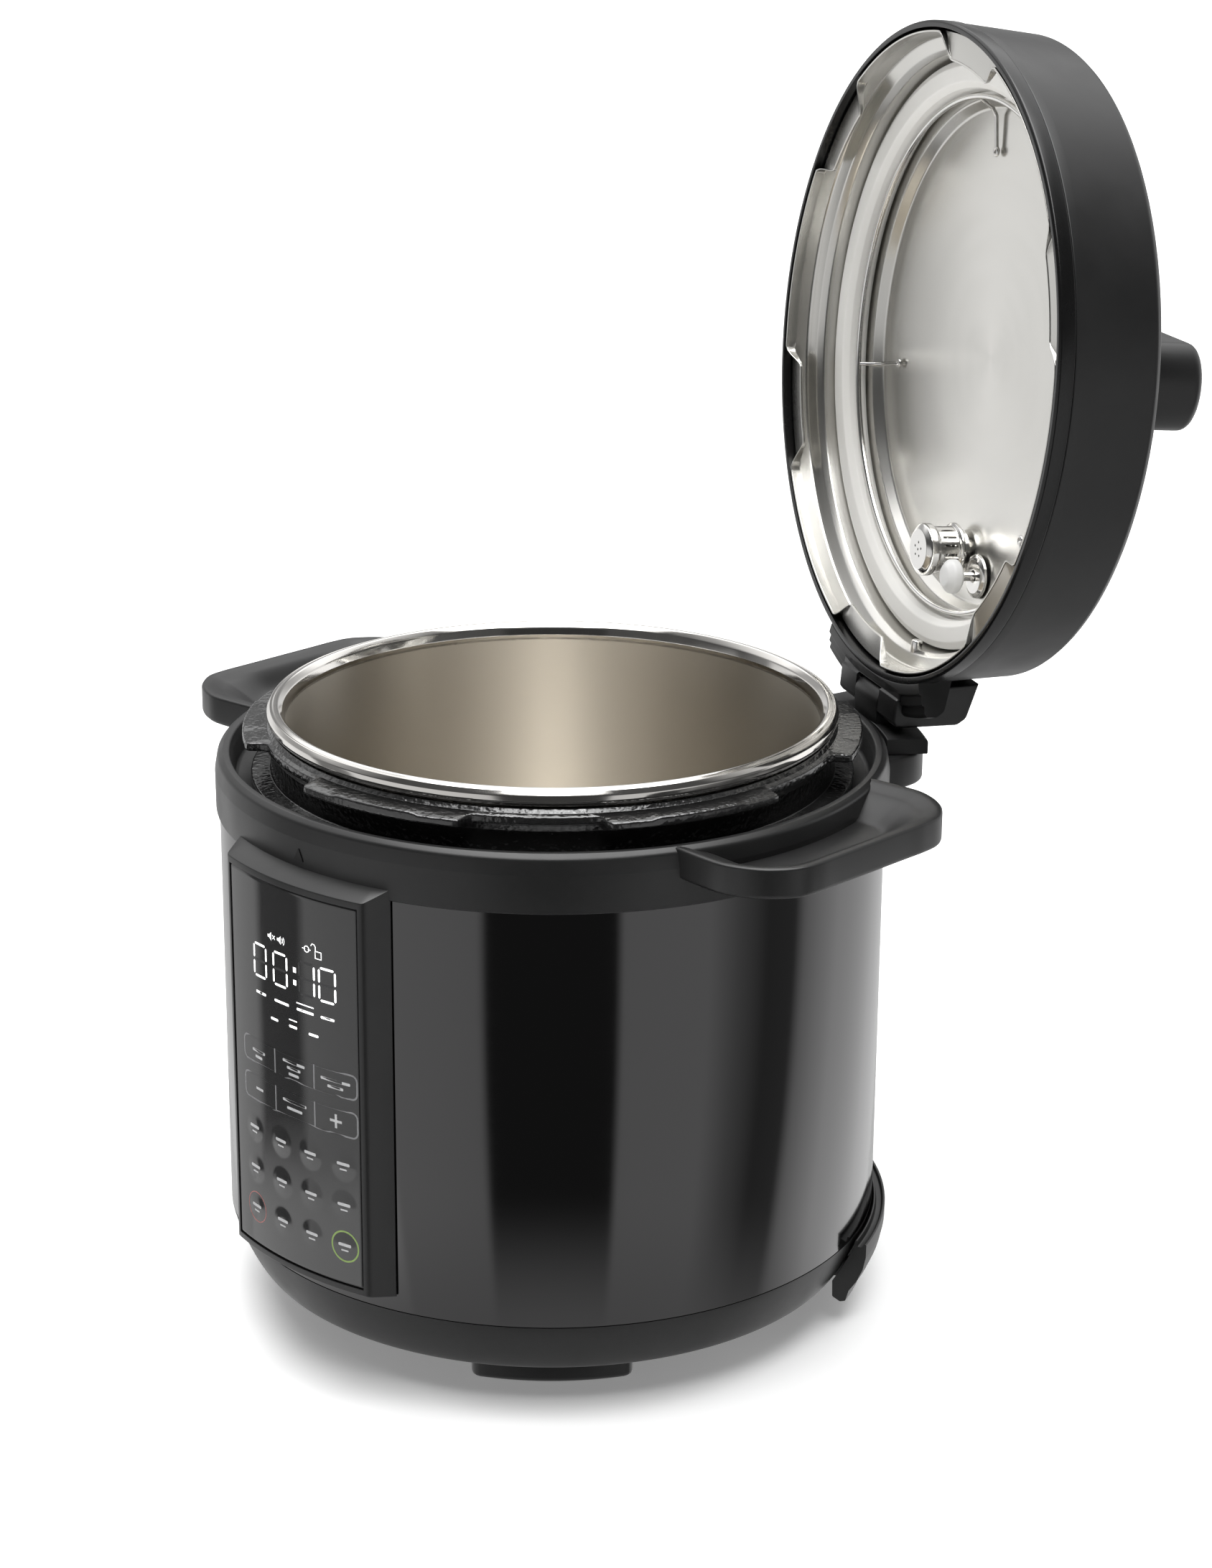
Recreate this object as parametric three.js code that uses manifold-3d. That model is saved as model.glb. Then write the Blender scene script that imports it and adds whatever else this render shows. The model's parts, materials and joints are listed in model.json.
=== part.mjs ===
// Electric multi-cooker (slow cook and pressure cook) with a hinged, twist-lock lid, shown open.
// Millimetres, +Z up, floor at Z = 0, front of the cooker towards -Y.
// Bearings round the cooker are in degrees from the front, growing towards +X.
import * as THREE from "three";
import { mergeVertices } from "three/addons/utils/BufferGeometryUtils.js";
import Module from "manifold-3d";

const wasm = await Module();
wasm.setup();
const { Manifold, Mesh } = wasm;

// ---------------------------------------------------------------- driving dimensions
const SHELL_R = 140.4; // outside of the steel wrap
const SHELL_T = 0.6;
const SHELL_BOTTOM = 43.6;
const SHELL_TOP = 227.7;
const BASE_Z = 20; // underside of the base bowl
const BASE_FLAT_R = 129.7;
const BASE_TOP = 43.3;
const COLLAR_BOTTOM = 228;
const LIP_Z = 246; // top of the collar, where the lid comes down
const HANDLE_R = 177.3; // reach of a side handle
const HANDLE_BOTTOM = 233.2;
const LEDGE_TOP = 236; // track at the back that carries the hinge

const POT_RIM_R = 120; // rolled rim of the lift-out pot
const POT_RIM_Z = 265.2;
const POT_R = 113;
const POT_WALL = 0.8;
const POT_BOTTOM = 104;

const LUG_R = 130.4; // bayonet lugs on the fixed pot
const LUG_GAP_R = 122;
const LUG_PITCH = 60;
const LUG_GAP_HALF = 12.5; // half width of the gap between two lugs
const LUG_TOP = 255.5;
const LUG_BOTTOM = 251.5;

const LID_Z = 246.5; // rim plane of the closed lid
const LID_R = 138.5;
const LID_TRIM = 7; // height of the black rim trim
const LID_TOP = 56.5; // crown of the lid above its rim plane
const LID_HANDLE_TOP = 326.6; // with the lid closed
const TAB_R = 124.5; // inner edge of the lid's bayonet tabs
const TAB_HALF = 10.5;
const TAB_BEARING = 8.4; // first tab, with the lid closed and locked

const HINGE_R = 149.3; // hinge pin, from the cooker's axis
const HINGE_Z = 252;
const KNUCKLE_HALF = 12; // half width of the carriage's knuckle, inside the lid's
const PIN_HALF = 28;
const OPEN_ANGLE = 95.2; // lid fully open
const LOCK_TURN = 26.7; // from unlocked round to locked

const PANEL_R = 151;
const PANEL_HALF = 15.6;
const PANEL_FOOT_HALF = 18.4;
const GLASS_HALF = 14.55;
const GLASS_BOTTOM = 55.6;
const GLASS_TOP = 219.4;

const VENT_XY = [0, 84]; // steam outlet on the lid, closed and locked
const FLOAT_XY = [19, 91]; // float valve on the lid
const GAP = 0.3;

const AXIS_OFFSET = [17.4, 53.7]; // from the cooker's axis to the middle of its footprint, lid open

// ---------------------------------------------------------------- finishes
const FINISH = {
  steel_black: [0x2b2b2d, 0.28, 0.9],
  steel_bright: [0xc9c7c2, 0.22, 1],
  steel_brushed: [0xb5b1aa, 0.35, 1],
  aluminium: [0x9b9d9f, 0.5, 0.9],
  enamel_black: [0x151515, 0.4, 0.1],
  plastic_dark: [0x3a3a3b, 0.5, 0],
  plastic_black: [0x161616, 0.45, 0],
  glass_black: [0x0b0b0c, 0.08, 0.1],
  silicone_clear: [0xdfe2e2, 0.5, 0],
  rubber: [0x1a1a1a, 0.85, 0],
  board_green: [0x1e5a34, 0.6, 0],
  brass: [0xb89a52, 0.35, 1],
  ink_dark: [0x0e0e0e, 0.6, 0],
};

// ---------------------------------------------------------------- shape helpers
const rad = THREE.MathUtils.degToRad;
const steps = (a, b, n) => Array.from({ length: n + 1 }, (_, i) => a + ((b - a) * i) / n);
const around = (n) => steps(0, 360, n).slice(0, n);
const ROUND = 40; // sides of the large round parts

/** Point at a radius and bearing from the upright axis. */
const polar = (r, bearing) => [r * Math.sin(rad(bearing)), -r * Math.cos(rad(bearing))];

/** One closed body: seams merged, collapsed triangles dropped, faces turned outward. */
function closed(geometry) {
  const bare = geometry.clone();
  bare.deleteAttribute("normal");
  bare.deleteAttribute("uv");
  const merged = mergeVertices(bare, 1e-4);
  const [a, b, c] = [0, 0, 0].map(() => new THREE.Vector3());
  const position = merged.attributes.position;
  const kept = [];
  let volume = 0;
  for (let i = 0; i < merged.index.count; i += 3) {
    const [p, q, r] = [0, 1, 2].map((k) => merged.index.getX(i + k));
    if (p === q || q === r || r === p) continue;
    kept.push([p, q, r]);
    a.fromBufferAttribute(position, p);
    volume += a.dot(b.fromBufferAttribute(position, q).cross(c.fromBufferAttribute(position, r)));
  }
  merged.setIndex(kept.map(([p, q, r]) => (volume < 0 ? [p, r, q] : [p, q, r])).flat());
  return merged;
}

/** Full turn round Z of a closed section given as [radius, height] points. */
function turned(section, sides = ROUND) {
  const profile = [...section, section[0]].map(([r, z]) => new THREE.Vector2(r, z));
  return closed(new THREE.LatheGeometry(profile, sides).rotateX(Math.PI / 2));
}

/** Plan outline raised from z0 to z1, with both edges rounded by `round` if it is given. */
function raised(outline, z0, z1, round = 0) {
  const shape = new THREE.Shape(outline.map(([x, y]) => new THREE.Vector2(x, y)));
  const body = new THREE.ExtrudeGeometry(shape, {
    depth: z1 - z0 - 2 * round,
    bevelEnabled: round > 0,
    bevelThickness: round,
    bevelSize: round,
    bevelOffset: -round,
    bevelSegments: 2,
  });
  return closed(body.translate(0, 0, z0 + round));
}

/** Outline in the Y-Z plane, running along X. */
function alongX(outline, x0, x1) {
  const [x, y, z] = [[1, 0, 0], [0, 1, 0], [0, 0, 1]].map((v) => new THREE.Vector3(...v));
  return raised(outline, x0, x1).applyMatrix4(new THREE.Matrix4().makeBasis(y, z, x));
}

/** Plan outline of part of a ring, from radius r0 to r1 and between two bearings. */
function ringPart(r0, r1, from, to, n = 6) {
  const outside = steps(from, to, n).map((b) => polar(r1, b));
  return [...outside, ...steps(to, from, n).map((b) => polar(r0, b))];
}

/** Part turn round Z of a closed section, with flat ends. */
function partTurn(section, from, to, sides = ROUND) {
  const heights = section.map(([, z]) => z);
  const wedge = raised(
    [[0, 0], ...steps(from, to, 6).map((b) => polar(400, b))],
    Math.min(...heights) - 1,
    Math.max(...heights) + 1,
  );
  return common(turned(section, sides), wedge);
}

const box = (x0, x1, y0, y1, z0, z1) =>
  closed(new THREE.BoxGeometry(x1 - x0, y1 - y0, z1 - z0)
    .translate((x0 + x1) / 2, (y0 + y1) / 2, (z0 + z1) / 2));

const rod = (x, y, r, z0, z1, sides = 16) =>
  closed(new THREE.CylinderGeometry(r, r, z1 - z0, sides)
    .rotateX(Math.PI / 2).translate(x, y, (z0 + z1) / 2));

const spot = (section, [x, y], sides = 16) => turned(section, sides).translate(x, y, 0);

// joining and cutting
function toManifold(g) {
  return new Manifold(new Mesh({
    numProp: 3,
    vertProperties: new Float32Array(g.attributes.position.array),
    triVerts: new Uint32Array(g.index.array),
  }));
}

function fromManifold(m) {
  const mesh = m.getMesh();
  const g = new THREE.BufferGeometry();
  g.setAttribute("position", new THREE.Float32BufferAttribute(mesh.vertProperties, 3));
  g.setIndex(Array.from(mesh.triVerts));
  return g;
}

const combine = (how) => (first, ...rest) =>
  fromManifold(rest.reduce((m, g) => m[how](toManifold(g)), toManifold(first)));
const join = combine("add");
const cut = combine("subtract");
const common = combine("intersect");

// ---------------------------------------------------------------- placing
// Lid parts are drawn closed and locked, hinge at the back. Opening swings them about the
// pin, then the whole hinge stands LOCK_TURN short of the back, in its unlocked place.
const toUnlocked = new THREE.Matrix4().makeRotationZ(-rad(LOCK_TURN));
const toOpen = new THREE.Matrix4()
  .makeTranslation(0, HINGE_R, HINGE_Z)
  .multiply(new THREE.Matrix4().makeRotationX(-rad(OPEN_ANGLE)))
  .multiply(new THREE.Matrix4().makeTranslation(0, -HINGE_R, -HINGE_Z))
  .premultiply(toUnlocked);

const group = new THREE.Group();
group.name = "multi_cooker";

function add(name, finish, geometry, matrix) {
  const [color, roughness, metalness] = FINISH[finish];
  const placed = matrix ? geometry.applyMatrix4(matrix) : geometry;
  placed.computeVertexNormals();
  const mesh = new THREE.Mesh(placed, new THREE.MeshStandardMaterial({ color, roughness, metalness }));
  mesh.name = name;
  mesh.material.name = finish;
  group.add(mesh);
}

// ---------------------------------------------------------------- housing
function baseBowl() {
  const outer = steps(0, 90, 4).map((deg) => [
    BASE_FLAT_R + (SHELL_R - BASE_FLAT_R) * Math.sin(rad(deg)) ** 1.64,
    BASE_TOP - (BASE_TOP - BASE_Z) * Math.cos(rad(deg)) ** 1.64,
  ]);
  const lip = SHELL_R - SHELL_T - 0.4;
  const bowl = turned([
    [0, BASE_Z], ...outer, [lip, BASE_TOP], [lip, 49], [lip - 1.8, 49], [lip - 1.8, 42.5],
    [133.4, 31.5], [128, BASE_Z + 2.6], [0, BASE_Z + 2.6],
  ]);
  const posts = [-1, 1].flatMap((x) => [-1, 1].map((y) => rod(40 * x, 25 * y, 3, 22, 29.7, 6)));
  const slots = around(8).map((b) => box(-2, 2, 62, 84, BASE_Z - 1, BASE_Z + 4).rotateZ(rad(b)));
  const screwHoles = around(4).map((b) => rod(...polar(110, b), 4.2, BASE_Z - 1, BASE_Z + 4, 8));
  const socketWindow = box(-14.4, 14.4, 110, 146, 23.2, 41);
  return cut(join(bowl, ...posts), ...slots, ...screwHoles, socketWindow);
}

/** Plan outline from [radius, half width in degrees] points, with arcs across its tip and root. */
function wing(half, bearing) {
  const across = ([r, h]) => steps(h, -h, 6).map((v) => [r, v]);
  const [root, tip] = [half[0], half[half.length - 1]];
  const side = half.slice(1, -1);
  const left = side.map(([r, h]) => [r, -h]).reverse();
  return [...side, ...across(tip), ...left, ...across(root).reverse()]
    .map(([r, h]) => polar(r, bearing + h));
}

/** Straight outer edge, rounded corners, and flanks that run back into the ring. */
function sideHandle(bearing) {
  const plan = new THREE.Shape();
  plan.moveTo(126, -59.2);
  plan.lineTo(147, -61);
  plan.quadraticCurveTo(157, -61.4, 165, -54.6);
  plan.quadraticCurveTo(HANDLE_R, -45, HANDLE_R, -33);
  plan.lineTo(HANDLE_R, 33);
  plan.quadraticCurveTo(HANDLE_R, 45, 165, 54.6);
  plan.quadraticCurveTo(157, 61.4, 147, 61);
  plan.lineTo(126, 59.2);
  plan.quadraticCurveTo(152, 0, 126, -59.2); // inside the ring
  const outline = plan.getPoints(4).map(({ x, y }) => [x, y]);
  return raised(outline, HANDLE_BOTTOM, LIP_Z, 1.4).rotateZ(rad(bearing - 90));
}

/** The finger scoop in the top of a side handle, deepest in the middle. */
function scoop(bearing) {
  const round = (v) => Math.sign(v) * Math.abs(v) ** 0.72;
  const outline = around(16).map((t) =>
    polar(155.8 + 12.7 * round(Math.cos(rad(t))), bearing + 17.6 * round(Math.sin(rad(t)))));
  return raised(outline, HANDLE_BOTTOM + 2.6, 262, 6);
}

function collar() {
  const ring = turned([
    [141.7, COLLAR_BOTTOM], [141.9, 236], [141.6, 241.5], [140.7, 244.6], [138.5, LIP_Z],
    [133.4, LIP_Z], [131.8, 245], [131.2, 242], [131, 234], [122.5, 233.6], [122.5, 231],
    [134.5, 230.6], [136, 229.5], [136, 222], [139.2, 222], [139.2, COLLAR_BOTTOM],
  ]);
  const ledge = raised(
    wing([[138, 45], [143, 43.4], [150, 41.6], [157, 39.3], [160.8, 36.6], [162, 33.5]], 180),
    COLLAR_BOTTOM, LEDGE_TOP,
  );
  return cut(join(ring, sideHandle(90), sideHandle(270), ledge), scoop(90), scoop(270));
}

const footBlock = (bearing) =>
  cut(
    raised(ringPart(92, 108, bearing - 18.9, bearing + 18.9), 1.2, 26, 3),
    raised(ringPart(80, 120, bearing - 25, bearing + 25), BASE_Z - GAP, 30),
  );

const footPad = (bearing) => raised(ringPart(97, 103, bearing - 15.4, bearing + 15.4), 0, 0.9);

/** Rounded bumper round the back of the base, where a lead can be wound. */
const cordWrap = (from, to) =>
  partTurn(
    [
      [131.5, 13], [135, 11.2], [137.5, 12], [138.8, 17], [142.2, 22], [144.8, 28], [146.1, 34],
      [146.2, 40.2], [145.1, 40.2], [144.8, 38.6], [142.2, 38.6], [141.9, 41.5], [141.2, 41.5],
      [139.9, 36.2], [134.1, 25], [131.3, 20.4],
    ],
    from, to,
  );

function panelBezel() {
  const inner = SHELL_R + 0.6;
  const front = steps(-PANEL_HALF, PANEL_HALF, 6).map((b) => polar(PANEL_R, b));
  const back = steps(PANEL_FOOT_HALF, -PANEL_FOOT_HALF, 8).map((b) => polar(inner, b));
  const plan = raised(
    [polar(inner + 0.5, -PANEL_FOOT_HALF), ...front, polar(inner + 0.5, PANEL_FOOT_HALF), ...back],
    50.5, 227,
  );
  const bevels = partTurn(
    [
      [130, 50.5], [inner + 0.5, 50.5], [PANEL_R + 1, 52.6], [PANEL_R + 1, 222.6],
      [inner + 0.5, 226.8], [130, 227],
    ],
    -25, 25, 36,
  );
  const half = GLASS_HALF + 0.14;
  const recess = raised(
    ringPart(148.6, 156, -half, half),
    GLASS_BOTTOM - GAP, GLASS_TOP + GAP,
  );
  return cut(common(plan, bevels), recess);
}

const panelGlass = () =>
  raised(ringPart(148.9, PANEL_R, -GLASS_HALF, GLASS_HALF), GLASS_BOTTOM, GLASS_TOP);

const indexMark = () =>
  raised([[-2.6, 229.4], [2.6, 229.4], [0, 234.6]], 141.95, 142.6).rotateX(Math.PI / 2);

const inletSocket = () =>
  cut(box(-14, 14, 116, 142, 23.6, 40.6), box(-11.5, 11.5, 124, 143, 26, 38.4));

// ---------------------------------------------------------------- pots and heater
/** Six plan outlines, LUG_PITCH apart, each reaching `half` degrees either side of its middle. */
const sixfold = (r0, r1, first, half) =>
  steps(0, 5, 5).map((i) => {
    const middle = first + i * LUG_PITCH;
    return ringPart(r0, r1, middle - half, middle + half, 3);
  });

function fixedPot() {
  const body = turned(
    [
      [16, 93.3], [110, 93.3], [114.5, 99], [114.5, 255.6], [116.3, 257.3], [118.4, 257.3],
      [119.6, 256.2], [LUG_R - 0.9, LUG_TOP], [LUG_R, LUG_TOP - 1], [LUG_R, LUG_BOTTOM + 0.8],
      [LUG_R - 0.7, LUG_BOTTOM], [120.4, 251], [118.6, 249], [118.6, 237.2], [127, 236.9],
      [127, 234.3], [118.6, 234],
      [118.6, 98], [112, 90], [16, 90],
    ],
    48,
  );
  const gaps = sixfold(LUG_GAP_R, 140, TAB_BEARING - LOCK_TURN, LUG_GAP_HALF);
  return cut(body, ...gaps.map((outline) => raised(outline, 250, 258)));
}

function innerPot() {
  const inside = POT_R - POT_WALL;
  return turned([
    [0, POT_BOTTOM], [98, POT_BOTTOM], [106, 106], [111, 111],
    [POT_R, 119], [POT_R, 253], [113.6, 256.2], [115.6, 257.7], [118.8, 257.9],
    [POT_RIM_R, 260], [POT_RIM_R, 262.9], [118.6, 264.8], [116.2, POT_RIM_Z],
    [113.6, 263.6], [inside, 258.5], [inside, 119.5], [110.2, 112.3], [105.6, 107.4],
    [98, 106], [0, 106.8],
  ]);
}

const heatingPlate = () =>
  turned([[17, 93.6], [92, 93.6], [94, 95.6], [94, 101], [92, 103.3], [17, 103.3]], 32);

const tempSensor = () =>
  turned(
    [[0, 88], [5, 88], [5, 95], [14.8, 95], [15.4, 96], [15.4, 102.7], [14.4, 103.6], [0, 103.7]],
    16,
  );

const sensorMount = () =>
  turned([[6, 80], [22, 80], [22, 89.7], [17.5, 89.7], [17.5, 82.4], [6, 82.4]], 16);

// ---------------------------------------------------------------- hinge
const hingeRod = (half, r) =>
  closed(new THREE.CylinderGeometry(r, r, 2 * half, 16)
    .rotateZ(Math.PI / 2).translate(0, HINGE_R, HINGE_Z));

function hingeCarriage() {
  const saddle = partTurn(
    [[142.7, LEDGE_TOP + GAP], [160.5, LEDGE_TOP + GAP], [160.5, 241.6], [159.1, 243], [142.7, 243]],
    166.4, 193.6, 80,
  );
  const top = steps(0, 180, 6).map((deg) =>
    [HINGE_R + 6.5 * Math.cos(rad(deg)), HINGE_Z + 6.5 * Math.sin(rad(deg))]);
  const ear = [[HINGE_R - 6.5, 238], [HINGE_R + 6.5, 238], ...top];
  return cut(join(saddle, alongX(ear, -KNUCKLE_HALF, KNUCKLE_HALF)), hingeRod(40, 3.35));
}

// ---------------------------------------------------------------- lid (closed and locked)
const lid = (points) => points.map(([r, s]) => [r, LID_Z + s]);
const seam = LID_TRIM + GAP;
const coverTop = [[134.4, 46.4], [131, 48], [119, 52], [95, 55.2], [60, LID_TOP], [0, LID_TOP]];

function lidCover() {
  const shell = turned(lid([
    [LID_R, seam], [138.2, 11.5], [135.8, 44], ...coverTop, [0, 53.9], [60, 53.9], [94, 52.7],
    [118, 49.5], [129.4, 45.8], [131.8, 44.4], [133, 42.6], [135.3, 11.5], [135.6, seam],
  ]));
  const brow = partTurn(
    lid([[138.8, 0.5], [143.4, 0.5], [143.8, 1.6], [148, 1.6], [148.4, 2.8], [151.8, 2.8],
      [153, 4.2], [153, 8.5], [150.5, 12], [137.5, 16], [137.5, seam + 0.2],
      [138.8, seam + 0.2]]),
    160, 200, 72,
  );
  const tail = alongX(
    [
      [137, 247], [142.4, 247], [143, 245.9], [153, 245.9], [155.1, 247.8], [155.5, 252],
      [154.4, 276.5], [151.5, 280.5], [137, 284],
    ],
    -29.7, 29.7,
  );
  const trimSpace = rod(0, 0, 138.8, 240, LID_Z + seam + 0.2, 72);
  const slot = KNUCKLE_HALF + GAP;
  return cut(
    join(shell, brow, cut(tail, trimSpace)),
    box(-slot, slot, HINGE_R - 7, 170, 236, HINGE_Z + 7.7),
    hingeRod(PIN_HALF + GAP, 3.35),
    rod(...VENT_XY, 5.7, 290, 310, 16),
    rod(...FLOAT_XY, 4.4, 290, 310, 12),
  );
}

const lidTrim = () =>
  turned(lid([[135.6, 0], [137.6, 0], [LID_R, 0.8], [LID_R, LID_TRIM], [135.6, LID_TRIM]]));

function lidHandle() {
  const end = (side) =>
    steps(-90, 90, 8).map((deg) =>
      [side * (98 + 13 * Math.cos(rad(deg))), -9 + side * 18 * Math.sin(rad(deg))]);
  const bar = raised([...end(1), ...end(-1)], 286, LID_HANDLE_TOP, 4);
  const below = turned(lid([[0, 30], [136, 30], ...coverTop.map(([r, s]) => [r, s + GAP])]));
  const arch = box(-82, 82, -40, 20, 290, 309.5);
  const crown = box(-77, 77, -40, 20, 309, 312.5);
  return cut(bar, below, arch, crown);
}

/** Pressed steel inside of the lid, with the bayonet tabs turned in along its edge. */
function lidLiner() {
  const shell = turned(
    lid([
      [134.4, 0.4], [134.4, 3.6], [134.3, 11.4], [128.6, 14.2], [126.6, 16], [125.8, 31.8],
      [124.6, 32.6], [108.6, 33], [105.6, 37.4], [0, 39.6],
      [0, 38.6], [104.8, 36.4], [107.8, 32], [124, 31.6], [124.8, 30.8], [125.6, 15.6],
      [127.6, 13.3], [133.2, 11], [133.4, 0.4],
    ]),
    48,
  );
  const dents = sixfold(TAB_R - 1, 140, TAB_BEARING, TAB_HALF).map((outline) =>
    raised(outline, LID_Z - 1, LID_Z + 3.6));
  const tabs = sixfold(TAB_R, 133.8, TAB_BEARING, TAB_HALF + 0.5).map((outline) =>
    raised(outline, LID_Z + 0.4, LID_Z + 4.6));
  const interlockHole = new THREE.CylinderGeometry(2.9, 2.9, 12, 12).translate(10, 124, 262.1);
  return cut(
    join(shell, ...tabs),
    ...dents,
    rod(...VENT_XY, 5.7, 275, 295, 16),
    rod(...FLOAT_XY, 2.7, 275, 295, 12),
    closed(interlockHole),
  );
}

const interlockPin = () =>
  closed(new THREE.CylinderGeometry(2.4, 2.4, 11.6, 12).translate(10, 127.4, 262.1));

const sealingRing = () =>
  turned(lid(
    [[112, 22.6], [114.4, 20], [121, 19.3], [124, 20.8], [124, 30.3], [112.6, 31], [110.9, 29]],
  ));

function sealRack() {
  const wire = closed(new THREE.TorusGeometry(108.6, 1.2, 5, ROUND).translate(0, 0, LID_Z + 25.5));
  const clip = lid([
    [108.4, 25.2], [104.4, 31.6], [102.2, 34.3], [86, 35.2], [86, 34.2], [101.6, 33.3],
    [103.5, 31.1], [107.4, 24.8],
  ]);
  const clips = [75, 140, 257, 352].map((b) => alongX(clip, -1.7, 1.7).rotateZ(rad(b - 180)));
  return join(wire, ...clips);
}

function ventShield() {
  const cup = spot(
    lid([
      [0, 15.6], [10, 15.6], [11.3, 17], [11.3, 22], [10.2, 22.7], [10.2, 32.9], [9.2, 32.9],
      [9.2, 22.9], [10.2, 21.7], [10.2, 17.4], [9.6, 16.8], [0, 16.8],
    ]),
    VENT_XY,
  );
  const [x, y] = VENT_XY;
  const slots = around(8).map((b) =>
    box(-0.8, 0.8, 8, 12, LID_Z + 24, LID_Z + 31).rotateZ(rad(b)).translate(x, y, 0));
  const holes = around(6).map((b) => {
    const [u, v] = polar(3.2, b);
    return rod(x + u, y + v, 0.8, LID_Z + 15, LID_Z + 18, 6);
  });
  return cut(cup, ...slots, ...holes);
}

const steamPipe = () =>
  spot(
    lid([[2.5, 29], [4.6, 29], [4.6, 33.3], [11, 33.3], [11, 35.7], [5, 35.9], [5, 67], [2.5, 67]]),
    VENT_XY,
  );

function steamKnob() {
  const [x, y] = VENT_XY;
  const knob = spot(
    lid([[5.5, 57], [13.5, 57], [14.5, 58.2], [14.5, 66], [12, 70.6], [0, 71], [0, 67.4], [5.5, 67.4]]),
    VENT_XY,
  );
  return join(knob, box(x - 3, x + 3, y + 11, y + 23, LID_Z + 57, LID_Z + 63));
}

const floatPin = () =>
  spot(lid([[0, 27.3], [2, 27.3], [2, 50], [3.6, 50.4], [3.6, 55.8], [0, 56.2]]), FLOAT_XY, 12);
const floatCap = () =>
  spot(lid([[0, 19.8], [5, 20.2], [7.2, 22.4], [7.2, 26], [5.6, 27], [0, 27]]), FLOAT_XY);
const floatSeat = () =>
  spot(lid([[2.6, 34.4], [7.6, 34.4], [8.6, 35.2], [8.6, 35.9], [2.6, 35.9]]), FLOAT_XY);

// ---------------------------------------------------------------- assembly
add("outer_shell", "steel_black", turned([
  [SHELL_R, SHELL_BOTTOM], [SHELL_R, SHELL_TOP], [SHELL_R - SHELL_T, SHELL_TOP],
  [SHELL_R - SHELL_T, SHELL_BOTTOM],
]));
add("collar", "plastic_dark", collar());
add("base_bowl", "plastic_dark", baseBowl());
[["front_right", 45], ["rear_right", 135], ["rear_left", 225], ["front_left", 315]]
  .forEach(([where, bearing]) => {
    add(`foot_${where}`, "plastic_black", footBlock(bearing));
    add(`foot_pad_${where}`, "rubber", footPad(bearing));
  });
around(4).forEach((bearing, i) => {
  const screw = rod(...polar(110, bearing), 3.6, BASE_Z + 0.4, BASE_Z + 6, 10);
  add(`base_screw_${i + 1}`, "steel_brushed", screw);
});
add("cord_wrap_right", "plastic_black", cordWrap(111, 169));
add("cord_wrap_left", "plastic_black", cordWrap(191, 249));
add("inlet_socket", "plastic_black", inletSocket());
[[0, 34.6], [-6.5, 30.2], [6.5, 30.2]].forEach(([x, z], i) =>
  add(`inlet_pin_${i + 1}`, "brass", box(x - 0.9, x + 0.9, 124.3, 134, z - 2, z + 2)));
add("power_board", "board_green", box(-46, 46, -31, 31, 30, 31.8));
add("panel_bezel", "plastic_dark", panelBezel());
add("panel_glass", "glass_black", panelGlass());
add("index_mark", "ink_dark", indexMark());

add("fixed_pot", "enamel_black", fixedPot());
add("heating_plate", "aluminium", heatingPlate());
add("temp_sensor", "steel_bright", tempSensor());
add("sensor_mount", "aluminium", sensorMount());
add("inner_pot", "steel_brushed", innerPot());

add("hinge_carriage", "plastic_black", hingeCarriage(), toUnlocked);
add("hinge_pin", "steel_bright", hingeRod(PIN_HALF, 3), toUnlocked);

add("lid_cover", "plastic_dark", lidCover(), toOpen);
add("lid_trim", "plastic_black", lidTrim(), toOpen);
add("lid_handle", "plastic_dark", lidHandle(), toOpen);
add("lid_liner", "steel_bright", lidLiner(), toOpen);
add("sealing_ring", "silicone_clear", sealingRing(), toOpen);
add("seal_rack", "steel_bright", sealRack(), toOpen);
add("vent_shield", "steel_bright", ventShield(), toOpen);
add("steam_pipe", "steel_bright", steamPipe(), toOpen);
add("steam_knob", "plastic_black", steamKnob(), toOpen);
add("float_pin", "steel_bright", floatPin(), toOpen);
add("float_cap", "silicone_clear", floatCap(), toOpen);
add("float_seat", "steel_bright", floatSeat(), toOpen);
add("interlock_pin", "steel_bright", interlockPin(), toOpen);

// the footprint box, lid open, is centred on the origin
group.position.set(-AXIS_OFFSET[0], -AXIS_OFFSET[1], 0);

export default group;
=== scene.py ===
import json
import math

import bmesh
import bpy
import numpy as np
from mathutils import Matrix, Vector


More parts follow.
